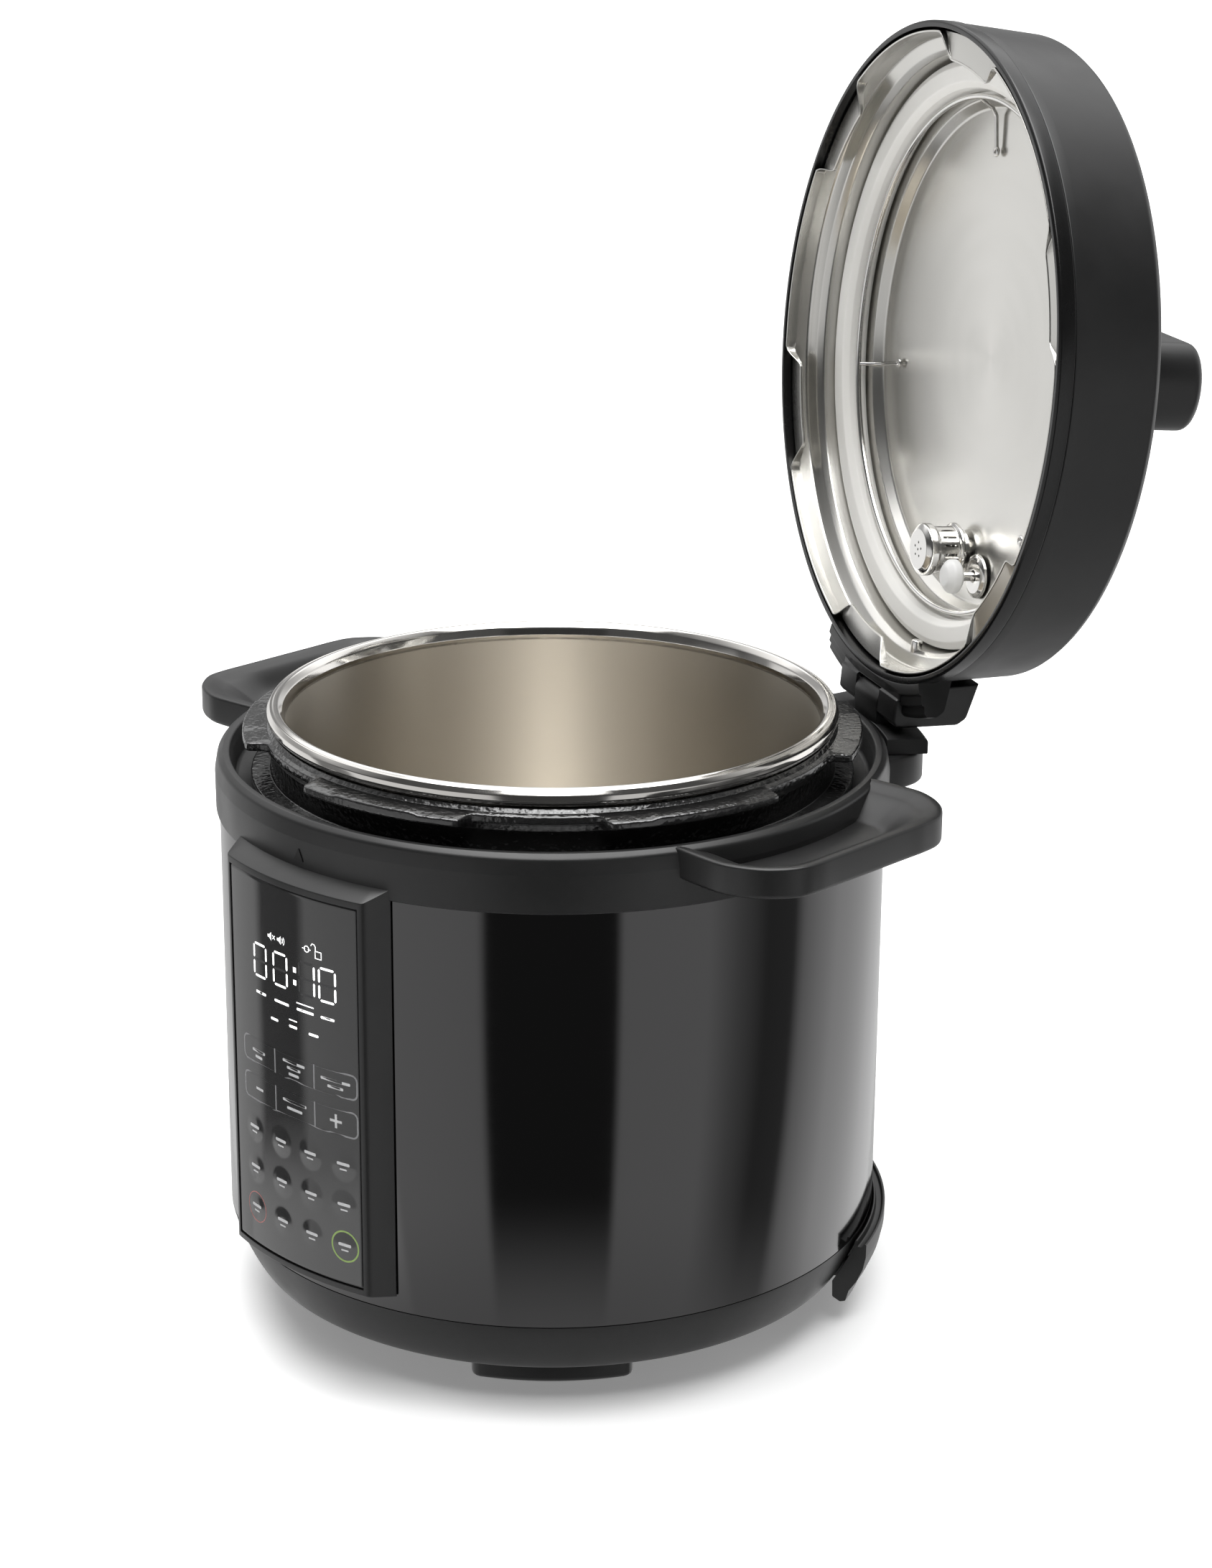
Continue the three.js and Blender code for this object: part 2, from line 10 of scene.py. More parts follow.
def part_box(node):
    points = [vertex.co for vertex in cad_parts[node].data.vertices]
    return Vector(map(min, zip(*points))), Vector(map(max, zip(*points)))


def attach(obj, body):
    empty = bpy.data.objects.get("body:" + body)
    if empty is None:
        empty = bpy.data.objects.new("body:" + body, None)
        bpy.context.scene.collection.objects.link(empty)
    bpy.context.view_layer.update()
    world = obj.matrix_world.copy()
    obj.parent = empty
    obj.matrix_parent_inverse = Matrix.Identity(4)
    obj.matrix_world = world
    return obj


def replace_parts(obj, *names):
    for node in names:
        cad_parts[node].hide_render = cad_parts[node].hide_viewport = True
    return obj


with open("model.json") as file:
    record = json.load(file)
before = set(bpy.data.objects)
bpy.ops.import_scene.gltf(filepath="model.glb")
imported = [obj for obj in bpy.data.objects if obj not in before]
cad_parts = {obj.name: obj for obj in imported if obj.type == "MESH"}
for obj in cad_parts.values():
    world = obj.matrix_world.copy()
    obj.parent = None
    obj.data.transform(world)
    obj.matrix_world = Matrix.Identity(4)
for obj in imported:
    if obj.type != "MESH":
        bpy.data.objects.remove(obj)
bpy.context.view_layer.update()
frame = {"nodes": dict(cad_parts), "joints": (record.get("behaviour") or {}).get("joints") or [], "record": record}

# Shapes are drawn in millimetres about the cooker's own axis, front towards -Y, and placed in
# metres. Bearings are in degrees from the front, growing towards +X. Lid parts are drawn with
# the lid closed and locked, and placed by the matrix that opens it.

# ------------------------ places, from the frame
MM = 0.001


def middle(node):
    lo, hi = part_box(node)
    return (lo + hi) / 2


def bottom(node):
    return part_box(node)[0].z / MM


def top(node):
    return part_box(node)[1].z / MM


def reach(node):
    """Half the width of a round node, which is its radius."""
    lo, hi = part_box(node)
    return (hi.x - lo.x) / 2 / MM


AXIS = middle("outer_shell")
PIN = middle("hinge_pin")
JOINTS = {j["name"]: j for j in frame["joints"]}
LOCK_TURN = math.radians(JOINTS["lock_turn"]["range_deg"][1])
OPEN_TURN = -math.radians(JOINTS["lid_hinge"]["range_deg"][0])
HINGE_R = (PIN - AXIS).xy.length / MM
HINGE_Z = PIN.z / MM

SHELL_R = reach("outer_shell")
SHELL_BOTTOM, SHELL_TOP = bottom("outer_shell"), top("outer_shell")
COLLAR_Z, LIP_Z = bottom("collar"), top("collar")
HANDLE_R = reach("collar")
LID_Z = LIP_Z + 0.5
BASE_Z = bottom("base_bowl")
PANEL_Z0, PANEL_Z1 = bottom("panel_bezel"), top("panel_bezel")
GLASS_Z0, GLASS_Z1 = bottom("panel_glass"), top("panel_glass")
PANEL_R = (AXIS.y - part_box("panel_glass")[0].y) / MM
RIM_R, RIM_Z = reach("inner_pot"), top("inner_pot")
POT_Z = bottom("inner_pot")

HOME = Matrix.Translation((AXIS.x, AXIS.y, 0))
UNLOCKED = HOME @ Matrix.Rotation(-LOCK_TURN, 4, "Z")
TO_PIN = Matrix.Translation((0, HINGE_R * MM, HINGE_Z * MM))
OPENED = UNLOCKED @ TO_PIN @ Matrix.Rotation(-OPEN_TURN, 4, "X") @ TO_PIN.inverted()

BODY_OF = {node: body for body, nodes in frame["record"]["behaviour"]["bodies"].items()
           for node in nodes}

ROUND = 224  # sides of the large round parts
CREASE = 32  # degrees between faces that meet in a sharp edge
WELD = 2e-6  # metres between points that are made one


# ------------------------ shape helpers
# A shape is (points, faces). Points are in millimetres.
def polar(r, bearing):
    """Plan point at a radius and a bearing."""
    a = math.radians(bearing)
    return r * math.sin(a), -r * math.cos(a)


def steps(a, b, n):
    """n + 1 even steps from a to b."""
    return [a + (b - a) * i / n for i in range(n + 1)]


def fillet(corners, cuts=4, closed=True):
    """A line through (x, y) or (x, y, radius) corners, rounded where they have a radius."""
    out, n = [], len(corners)
    for i, (x, y, *radius) in enumerate(corners):
        here = Vector((x, y))
        if not radius or (not closed and i in (0, n - 1)):
            out.append((x, y))
            continue
        before = Vector(corners[i - 1][:2]) - here
        after = Vector(corners[(i + 1) % n][:2]) - here
        half = before.angle(after) / 2
        if half > math.radians(89):  # as good as straight
            out += [(x, y)] * (cuts + 1)
            continue
        back = min(radius[0] / math.tan(half), 0.48 * min(before.length, after.length))
        before.normalize()
        after.normalize()
        hub = here + (before + after).normalized() * back / math.cos(half)
        start, end = here + before * back - hub, here + after * back - hub
        turn = math.atan2(start.x * end.y - start.y * end.x, start.dot(end))
        for k in range(cuts + 1):
            c, s = math.cos(turn * k / cuts), math.sin(turn * k / cuts)
            out.append((hub.x + start.x * c - start.y * s, hub.y + start.x * s + start.y * c))
    return out


def circle(x, y, r, sides):
    return [(x + r * math.cos(2 * math.pi * k / sides), y + r * math.sin(2 * math.pi * k / sides))
            for k in range(sides)]


def smooth_line(points, cuts=5):
    """Curve through points, as Catmull-Rom spans."""
    p = [Vector(q) for q in points]
    out = []
    for i in range(len(p) - 1):
        a, b, c, d = p[max(i - 1, 0)], p[i], p[i + 1], p[min(i + 2, len(p) - 1)]
        for t in steps(0, 1, cuts)[:-1]:
            out.append(0.5 * (2 * b + (c - a) * t + (2 * a - 5 * b + 4 * c - d) * t * t
                              + (3 * b - a - 3 * c + d) * t ** 3))
    return out + [p[-1]]


def ease(a, b, x):
    t = min(1.0, max(0.0, (x - a) / (b - a)))
    return t * t * (3 - 2 * t)


def loft(loops, ring=False):
    """Skin over closed loops of points, all the same length: ends capped, or joined in a ring."""
    count, size = len(loops), len(loops[0])
    points = [p for loop in loops for p in loop]
    faces = []
    for i in range(count if ring else count - 1):
        a, b = i * size, (i + 1) % count * size
        faces += [(a + j, a + (j + 1) % size, b + (j + 1) % size, b + j) for j in range(size)]
    if not ring:
        faces += [tuple(range(size)), tuple(range((count - 1) * size, count * size))]
    return points, faces


def turned(section, sides=ROUND, arc=None):
    """Turn of a closed section of (radius, height) points, or of a function of the bearing."""
    at = section if callable(section) else lambda bearing: section
    bearings = steps(0, 360, sides)[:-1] if arc is None else steps(*arc, sides)
    loops = [[(*polar(r, b), z) for r, z in at(b)] for b in bearings]
    return loft(loops, ring=arc is None)


def inset(outline, d):
    """A closed outline moved inward by d."""
    points = [Vector(p) for p in outline]
    n = len(points)
    area = sum(points[i - 1].cross(points[i]) for i in range(n))
    side = 1 if area > 0 else -1
    out = []
    for i, p in enumerate(points):
        a = (p - points[i - 1]).normalized()
        b = (points[(i + 1) % n] - p).normalized()
        normal = Vector((-(a.y + b.y), a.x + b.x)) * side
        normal.normalize()
        lean = max(0.35, normal.dot(Vector((-a.y, a.x)) * side))  # holds back sharp corners
        out.append(tuple(p + normal * d / lean))
    return out


def prism(outline, z0, z1, soft=0.0, cuts=3):
    """Plan outline raised from z0 to z1, with soft edges."""
    rings = [(0, z0), (0, z1)]
    if soft:
        arc = [math.pi / 2 * k / cuts for k in range(cuts + 1)]
        low = [(soft * (1 - math.sin(a)), z0 + soft * (1 - math.cos(a))) for a in arc]
        rings = low + [(d, z0 + z1 - z) for d, z in reversed(low)]
    return loft([[(x, y, z) for x, y in (inset(outline, d) if d else outline)] for d, z in rings])


def ring_part(r0, r1, start, end, n=24, soft=0.0):
    """Plan outline of part of a ring, between two radii and two bearings."""
    if not soft:
        return [polar(r1, b) for b in steps(start, end, n)] + [
            polar(r0, b) for b in steps(end, start, n)]
    corners = [(start, r1), (end, r1), (end, r0), (start, r0)]
    unrolled = fillet([(math.radians(b) * r1, r, soft) for b, r in corners], 4)
    out = []
    for (x, y), (u, v) in zip(unrolled, unrolled[1:] + unrolled[:1]):
        count = max(1, int(abs(u - x) / 3))
        out += [polar(y + (v - y) * k / count, math.degrees((x + (u - x) * k / count) / r1))
                for k in range(count)]
    return out


def tube(path, radius, sides, closed=False):
    """A round wire along a path."""
    points = [Vector(p) for p in path]
    n, loops, across = len(points), [], None
    for i, p in enumerate(points):
        ahead = points[(i + 1) % n] if closed or i < n - 1 else p
        behind = points[i - 1] if closed or i else p
        along = (ahead - behind).normalized()
        if across is None:
            across = along.orthogonal().normalized()
        across = (across - along * across.dot(along)).normalized()
        other = along.cross(across)
        loops.append([tuple(p + radius * (math.cos(a) * across + math.sin(a) * other))
                      for a in (2 * math.pi * k / sides for k in range(sides))])
    return loft(loops, ring=closed)


def moved(shape, matrix):
    points, faces = shape
    return [tuple(matrix @ Vector(p)) for p in points], faces


def shifted(shape, x, y, z=0.0):
    return moved(shape, Matrix.Translation((x, y, z)))


def spun(shape, bearing):
    return moved(shape, Matrix.Rotation(math.radians(bearing), 4, "Z"))


def along_x(outline, x0, x1, soft=0.0):
    """Outline in the Y-Z plane, running along X."""
    return moved(prism(outline, x0, x1, soft),
                 Matrix(((0, 0, 1, 0), (1, 0, 0, 0), (0, 1, 0, 0), (0, 0, 0, 1))))


def along_y(corners, y0, y1, soft=0.0):
    """Outline in the X-Z plane, running along Y."""
    return moved(prism(fillet(corners), y0, y1, soft),
                 Matrix(((1, 0, 0, 0), (0, 0, 1, 0), (0, 1, 0, 0), (0, 0, 0, 1))))


def group(*shapes):
    """Separate bodies that make one piece."""
    points, faces = [], []
    for p, f in shapes:
        faces += [tuple(i + len(points) for i in face) for face in f]
        points += p
    return points, faces


def block(x0, x1, y0, y1, z0, z1, soft=0.0, corner=0.0):
    corners = [(x0, y0), (x1, y0), (x1, y1), (x0, y1)]
    return prism(fillet([(x, y, corner) if corner else (x, y) for x, y in corners]), z0, z1, soft)


def rod(x, y, r, z0, z1, sides=24):
    return prism(circle(x, y, r, sides), z0, z1)


def mesh_of(name, shape):
    points, faces = shape
    mesh = bpy.data.meshes.new(name)
    mesh.from_pydata([tuple(c * MM for c in p) for p in points], [], faces)
    bm = bmesh.new()
    bm.from_mesh(mesh)
    bmesh.ops.remove_doubles(bm, verts=bm.verts, dist=WELD)
    bmesh.ops.dissolve_degenerate(bm, edges=bm.edges, dist=WELD / 2)
    bmesh.ops.recalc_face_normals(bm, faces=bm.faces)
    bm.to_mesh(mesh)
    bm.free()
    return mesh


def carve(shape, *cutters):
    """The shape with the cutters taken away."""
    scratch = [bpy.data.objects.new("scratch", mesh_of("scratch", s)) for s in (shape, *cutters)]
    for o in scratch:
        bpy.context.scene.collection.objects.link(o)
    for cutter in scratch[1:]:
        cut = scratch[0].modifiers.new("cut", "BOOLEAN")
        cut.operation, cut.solver, cut.object = "DIFFERENCE", "EXACT", cutter
    found = scratch[0].evaluated_get(bpy.context.evaluated_depsgraph_get()).to_mesh()
    points = [tuple(v.co / MM) for v in found.vertices]
    faces = [tuple(p.vertices) for p in found.polygons]
    for o in scratch:
        bpy.data.objects.remove(o)
    return points, faces


def put(name, shape, place, node, look, crease=CREASE):
    """Adds a piece that rides on a CAD node's body."""
    mesh = mesh_of(name, shape)
    mesh.shade_smooth()
    mesh.set_sharp_from_angle(angle=math.radians(crease))
    piece = bpy.data.objects.new(name, mesh)
    bpy.context.scene.collection.objects.link(piece)
    if place is HOME:
        piece.matrix_world = place
    else:
        mesh.transform(place)
    mesh.materials.append(look)
    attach(piece, BODY_OF[node])
    return piece


def stand_in(node, shape, place, look, crease=CREASE):
    """A piece that replaces the CAD node of the same name."""
    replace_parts(put(node, shape, place, node, look, crease), node)


# ------------------------ materials
class Nodes:
    """Adds nodes to a shader tree. Inputs are numbers or the outputs of other nodes."""

    def __init__(self, tree):
        self.tree = tree

    def link(self, source, target):
        self.tree.links.new(source, target)

    def node(self, kind, **settings):
        made = self.tree.nodes.new(kind)
        for key, value in settings.items():
            setattr(made, key, value)
        return made

    def result(self, kind, inputs, **settings):
        """First output of a new node that is given its first inputs."""
        made = self.node(kind, **settings)
        for socket, value in zip(made.inputs, inputs):
            if isinstance(value, (int, float)):
                socket.default_value = value
            else:
                self.link(value, socket)
        return made.outputs[0]

    def math(self, operation, a, b=0.0):
        return self.result("ShaderNodeMath", (a, b), operation=operation)

    def split(self, vector):
        """The X, Y and Z of a vector."""
        made = self.node("ShaderNodeSeparateXYZ")
        self.link(vector, made.inputs[0])
        return made.outputs

    def spread(self, value, start, end, low, high, curve="LINEAR"):
        """low where the value is under start, high where it is over end."""
        made = self.node("ShaderNodeMapRange", interpolation_type=curve)
        for key, number in zip(("From Min", "From Max", "To Min", "To Max"), (start, end, low, high)):
            made.inputs[key].default_value = number
        self.link(value, made.inputs["Value"])
        return made.outputs["Result"]


class Look(Nodes):
    """A Principled material with procedural grain. Plain values go straight on the shader."""

    def __init__(self, name, color, drawn=None, **values):
        """drawn is the matrix that places the piece, where its pattern needs its own frame."""
        self.material = bpy.data.materials.new(name)
        self.material.use_nodes = True
        super().__init__(self.material.node_tree)
        self.shader = self.tree.nodes["Principled BSDF"]
        self.set("Base Color", (*color, 1))
        for key, value in values.items():
            self.set(key.replace("_", " "), value)
        self.place = self.node("ShaderNodeTexCoord").outputs["Object"]
        self.drawn = drawn
        if drawn:
            self.place = self.mapped(self.place, drawn.inverted(), "POINT")

    def set(self, key, value):
        self.shader.inputs[key].default_value = value

    def mapped(self, vector, matrix, kind):
        """A vector turned (and moved, if it is a POINT) by a matrix."""
        made = self.node("ShaderNodeMapping", vector_type=kind)
        if kind == "POINT":
            made.inputs["Location"].default_value = matrix.to_translation()
        made.inputs["Rotation"].default_value = matrix.to_euler("XYZ")
        self.link(vector, made.inputs["Vector"])
        return made.outputs[0]

    def noise(self, scale, detail=3.0, place=None, rough=0.55):
        made = self.node("ShaderNodeTexNoise")
        made.inputs["Scale"].default_value = scale
        made.inputs["Detail"].default_value = detail
        made.inputs["Roughness"].default_value = rough
        self.link(place or self.place, made.inputs["Vector"])
        return made.outputs["Fac"]

    def roughness(self, fac, low, high):
        """Roughness from low to high, over the middle of a noise's range."""
        self.link(self.spread(fac, 0.3, 0.7, low, high), self.shader.inputs["Roughness"])

    def bump(self, height, depth):
        """Bump up to depth millimetres high, on top of any bump there is."""
        made = self.node("ShaderNodeBump")
        made.inputs["Strength"].default_value = 1.0
        made.inputs["Distance"].default_value = depth * MM
        self.link(height, made.inputs["Height"])
        before = self.shader.inputs["Normal"].links
        if before:
            self.link(before[0].from_socket, made.inputs["Normal"])
        self.link(made.outputs["Normal"], self.shader.inputs["Normal"])

    def turned_place(self, r_scale, turn_scale, z_scale):
        """Texture place that follows a turned surface: radius, bearing and height."""
        x, y, z = self.split(self.place)
        radius = self.math("SQRT", self.math("ADD", self.math("MULTIPLY", x, x),
                                             self.math("MULTIPLY", y, y)))
        return self.result("ShaderNodeCombineXYZ", [
            self.math("MULTIPLY", value, scale) for value, scale in (
                (radius, r_scale), (self.math("ARCTAN2", y, x), turn_scale), (z, z_scale))])

    def spun_tangent(self):
        """Tangent that runs round the piece's own Z axis."""
        x, y, _ = self.split(self.place)
        across = self.result("ShaderNodeCombineXYZ", (self.math("MULTIPLY", y, -1.0), x))
        if self.drawn:
            across = self.mapped(across, self.drawn, "VECTOR")
        across = self.result("ShaderNodeVectorTransform", (across,), vector_type="VECTOR",
                             convert_from="OBJECT", convert_to="WORLD")
        across = self.result("ShaderNodeVectorMath", (across,), operation="NORMALIZE")
        self.link(across, self.shader.inputs["Tangent"])


def moulded(name, color, rough=0.42, grain=0.35, depth=0.012):
    """Moulded plastic with a fine spark-eroded grain."""
    look = Look(name, color)
    look.roughness(look.noise(38, 4), rough - 0.04, rough + 0.05)
    look.bump(look.noise(1000 / grain, 2), depth)
    look.bump(look.noise(24, 2), 0.05)
    return look.material


def spun_steel(name, color, rough, lines=2600, depth=0.0008, streak=1.2, spin=0.6, vary=0.04,
               drawn=None):
    """Steel polished on the turn, with fine rings and a highlight spread across them."""
    look = Look(name, color, drawn, Metallic=1.0, Anisotropic=spin, Anisotropic_Rotation=0.25)
    rings = look.noise(1.0, 2, look.turned_place(lines, streak, lines), 0.5)
    look.roughness(look.noise(1.0, 3, look.turned_place(lines / 12, streak, lines / 12)),
                   rough - vary / 2, rough + vary)
    look.bump(rings, depth)
    look.spun_tangent()
    return look.material


def polished(name, color, rough=0.12):
    look = Look(name, color, Metallic=1.0)
    look.roughness(look.noise(90, 4), rough - 0.03, rough + 0.05)
    look.bump(look.noise(240, 3), 0.004)
    return look.material


def enamel(name, color):
    """Thick glossy coating with an orange-peel surface."""
    look = Look(name, color, Specular_IOR_Level=1.0)
    look.roughness(look.noise(60, 3), 0.12, 0.22)
    look.bump(look.noise(430, 1.5, rough=0.4), 0.34)
    return look.material


def panel_glass_look(name, color):
    look = Look(name, color, Specular_IOR_Level=1.0)
    look.roughness(look.noise(30, 3), 0.03, 0.07)
    look.bump(look.noise(45, 1), 0.02)
    return look.material


def printed(name, color, glow=0.0):
    """Ink or light behind the panel glass."""
    look = Look(name, color, Emission_Strength=glow)
    look.set("Emission Color", (*color, 1))
    look.roughness(look.noise(200, 2), 0.2, 0.3)
    return look.material


def rubbery(name, color, rough):
    look = Look(name, color)
    look.roughness(look.noise(120, 3), rough - 0.06, rough + 0.06)
    look.bump(look.noise(700, 2), 0.02)
    return look.material


def cast(name, color):
    look = Look(name, color, Metallic=1.0)
    look.roughness(look.noise(300, 4), 0.37, 0.55)
    look.bump(look.noise(900, 3), 0.04)
    return look.material


SHELL_STEEL = spun_steel("black_stainless", (0.105, 0.104, 0.105), 0.085, spin=0.3, vary=0.01,
                         depth=0.0002)
HOUSING = moulded("housing_plastic", (0.009, 0.009, 0.0092), 0.38)
LID_PLASTIC = moulded("lid_plastic", (0.009, 0.009, 0.0092), 0.36)
TRIM = moulded("trim_plastic", (0.003, 0.003, 0.0031), 0.25, 0.5, 0.008)
BLACK = moulded("black_plastic", (0.006, 0.006, 0.0062), 0.40)
BEZEL = moulded("bezel_plastic", (0.011, 0.011, 0.0112), 0.34)
GLASS = panel_glass_look("panel_glass", (0.006, 0.006, 0.0062))
WINDOW = panel_glass_look("display_window", (0.024, 0.024, 0.025))
LIT = printed("lit_segments", (1.0, 1.0, 1.0), 0.9)
UNLIT = printed("unlit_segments", (0.022, 0.022, 0.023))
LEGEND = printed("panel_print", (0.40, 0.40, 0.405), 0.05)
LEGEND_DIM = printed("panel_lines", (0.17, 0.17, 0.175), 0.01)
START_RING = printed("start_ring", (0.18, 0.27, 0.07), 0.12)
STOP_RING = printed("stop_ring", (0.30, 0.09, 0.08), 0.06)
# painted shade: the index mark is coloured near-black for the shadow in a notch, not for its grey ink
MARK_SHADE = moulded("index_mark_painted_shade", (0.0012, 0.0012, 0.0012), 0.3)
ENAMEL = enamel("pot_coating", (0.010, 0.010, 0.010))
POT_STEEL = spun_steel("pot_steel", (0.66, 0.62, 0.55), 0.38, lines=2200, spin=0.95, vary=0.01,
                       depth=0.0004, streak=0.3)
LINER_STEEL = spun_steel("lid_steel", (0.70, 0.69, 0.66), 0.25, lines=1800, spin=0.6, vary=0.02,
                         drawn=OPENED)
BRIGHT = polished("bright_steel", (0.80, 0.79, 0.77))
RIM_STEEL = polished("rim_steel", (0.74, 0.72, 0.69), 0.09)
SATIN = spun_steel("satin_steel", (0.60, 0.59, 0.57), 0.3)
ALLOY = cast("heater_alloy", (0.46, 0.47, 0.48))
SEAL = rubbery("seal_silicone", (0.80, 0.79, 0.76), 0.36)
CAP = rubbery("cap_silicone", (0.86, 0.86, 0.85), 0.42)
RUBBER = rubbery("foot_rubber", (0.010, 0.010, 0.010), 0.8)
BRASS = polished("brass", (0.55, 0.42, 0.19), 0.25)
BOARD = rubbery("circuit_board", (0.012, 0.085, 0.035), 0.45)


# ------------------------ housing
def outer_shell():
    inside = SHELL_R - 0.6
    return turned(fillet([
        (SHELL_R, SHELL_BOTTOM, 0.25), (SHELL_R, SHELL_TOP, 0.25), (inside, SHELL_TOP),
        (inside, SHELL_BOTTOM)], 2))


def edge_distance(point, edge):
    a, b = edge[:-1], edge[1:]
    span = b - a
    t = np.clip(((point - a) * span).sum(1) / (span ** 2).sum(1), 0, 1)
    return np.sqrt((((a + span * t[:, None]) - point) ** 2).sum(1).min())


HANDLE_HALF = 61  # half the width of a side handle
HANDLE_DEPTH = 12.8  # from top to underside
SLOPE_DEPTH, SCOOP_DEPTH = 2.2, 10.2  # at the foot of the gentle slope, and of the steep drop


def handle_edge():
    """Plan of a handle that points along +X: straight outer edge, rounded corners, flanks."""
    r = HANDLE_R - 0.2  # the curve swings out a little past its points
    half = smooth_line([(r, 0), (r, 20), (r, 32), (175.8, 41.5), (170.8, 49.2), (165, 54.6),
                        (157, 58.9), (147, HANDLE_HALF), (126, 59.2)], 6)
    return [Vector((x, -y)) for x, y in reversed(half)] + [Vector(p) for p in half[1:]]


def side_handle(bearing):
    """A handle with a finger scoop in its top: flat rim, gentle slope, then a steep drop."""
    edge = handle_edge()
    outline = np.array([tuple(p) for p in edge])
    root_r, rows = 139.6, 44
    top_soft, low_soft, under = 1.2, 2.2, LIP_Z - HANDLE_DEPTH
    turn = [math.pi / 2 * k / 5 for k in range(6)]
    loops = []
    for i, p in enumerate(edge):
        along = (edge[min(i + 1, len(edge) - 1)] - edge[max(i - 1, 0)]).normalized()
        inward = Vector((-along.y, along.x))
        end = 2 * abs(i / (len(edge) - 1) - 0.5)  # 0 at the tip, 1 at the ends
        root = Vector(polar(root_r, 90 + math.degrees(math.atan2(p.y, p.x)) * (1 - 0.06 * end)))
        loop = [(*(p + inward * top_soft * (1 - math.cos(a))), LIP_Z - top_soft * (1 - math.sin(a)))
                for a in turn]
        start = p + inward * top_soft
        for k in range(1, rows + 1):
            q = start + (root - start) * (k / rows)
            d = edge_distance(np.array(q), outline)
            run = 9.0 + 13 * ease(0.25, 0.7, abs(q.y) / HANDLE_HALF)  # longer towards the flanks
            drop = (SLOPE_DEPTH * ease(1.8, 9.5, d)
                    + (SCOOP_DEPTH - SLOPE_DEPTH) * ease(6.8, 6.8 + run, d))
            loop.append((*q, LIP_Z - drop))
        loop.append((*root, under))
        loop += [(*(p + inward * low_soft * (1 - math.sin(a))),
                  under + low_soft * (1 - math.cos(a))) for a in turn]
        loops.append(loop)
    return spun(loft(loops), bearing - 90)


def rear_ledge():
    """Ledge at the back that the hinge rides on."""
    flank = smooth_line([(138, 45), (143, 43.4), (150, 41.6), (157, 39.3), (160.8, 36.6),
                         (162, 33.5)])
    tip_r, tip_half = flank.pop()
    plan = ([(r, -b) for r, b in flank] + [(tip_r, b) for b in steps(-tip_half, tip_half, 28)]
            + [(r, b) for r, b in reversed(flank)] + [(138.4, b) for b in steps(44.6, -44.6, 30)])
    return prism([polar(r, 180 + b) for r, b in plan], COLLAR_Z, LIP_Z - 10, 1.6)


def collar():
    ring = turned(fillet([
        (139.2, COLLAR_Z), (141.9, COLLAR_Z, 0.5), (142, 238, 3), (140.9, 244.3, 2.4),
        (138.5, LIP_Z, 0.8), (135.8, LIP_Z, 0.9), (134.7, 242, 4), (133.6, 234.5, 2),
        (122.5, 233.6), (122.5, 231), (134.5, 230.6), (136, 229.5), (136, 222), (139.2, 222)]))
    return group(ring, side_handle(90), side_handle(270), rear_ledge())


def base_bowl():
    flat_r, fullness = 129.7, 1.64
    rise = top("base_bowl") - 5.7 - BASE_Z  # up to the step that the shell stands on
    outer = [(flat_r + (SHELL_R - flat_r) * math.sin(a) ** fullness,
              BASE_Z + rise * (1 - math.cos(a) ** fullness))
             for a in (math.pi / 2 * k / 18 for k in range(19))]
    lip = SHELL_R - 1
    bowl = turned([(0, BASE_Z), (60, BASE_Z), *outer, (lip, BASE_Z + rise), (lip, 49),
                   (lip - 1.8, 49), (lip - 1.8, 42.5), (133.4, 31.5), (128, BASE_Z + 2.6),
                   (0, BASE_Z + 2.6)])
    vents = [spun(block(-2, 2, 62, 84, BASE_Z - 1, BASE_Z + 4, corner=1.8), 45 * k)
             for k in range(8)]
    wells = [rod(*polar(110, 90 * k), 4.2, BASE_Z - 1, BASE_Z + 4) for k in range(4)]
    window = block(-14.4, 14.4, 110, 146, 23.2, 41)
    posts = [rod(40 * x, 25 * y, 3, BASE_Z + 1, 29.7) for x in (-1, 1) for y in (-1, 1)]
    return group(carve(bowl, *vents, *wells, window), *posts)


def foot_block(bearing):
    return prism(ring_part(92, 108, bearing - 18.9, bearing + 18.9, soft=5), 1.0, BASE_Z + 3, 2.2)


def foot_pad(bearing):
    return prism(ring_part(97, 103, bearing - 15.4, bearing + 15.4, soft=2.5), 0, 1.6, 0.4)


def cord_wrap(start, end):
    section = fillet([
        (131.5, 13, 1), (135, 11.2, 1), (137.5, 12, 1), (138.8, 17, 3), (142.2, 22, 4),
        (144.8, 28, 5), (146.1, 34, 4), (146.2, 40.2, 0.4), (145.1, 40.2, 0.4), (144.8, 38.6, 0.6),
        (142.2, 38.6, 0.6), (141.9, 41.5, 0.3), (141.2, 41.5, 0.3), (139.9, 36.2, 3),
        (134.1, 25, 4), (131.3, 20.4, 1)], 3)
    rib_at = end - 49 if start < 180 else start + 49
    rib = prism(ring_part(121, 131.9, rib_at - 1.1, rib_at + 1.1, 2), 13.5, 22.5, 0.5)
    return group(turned(section, 60, (start, end)), rib)


def inlet_socket():
    body = block(-14, 14, 116, 142, 23.6, 40.6, 0.6)
    cavity = along_y([(-11.5, 26, 1.5), (11.5, 26, 1.5), (11.5, 33.4, 1.5), (7, 38.4, 1.5),
                      (-7, 38.4, 1.5), (-11.5, 33.4, 1.5)], 124, 143)
    return carve(body, cavity)


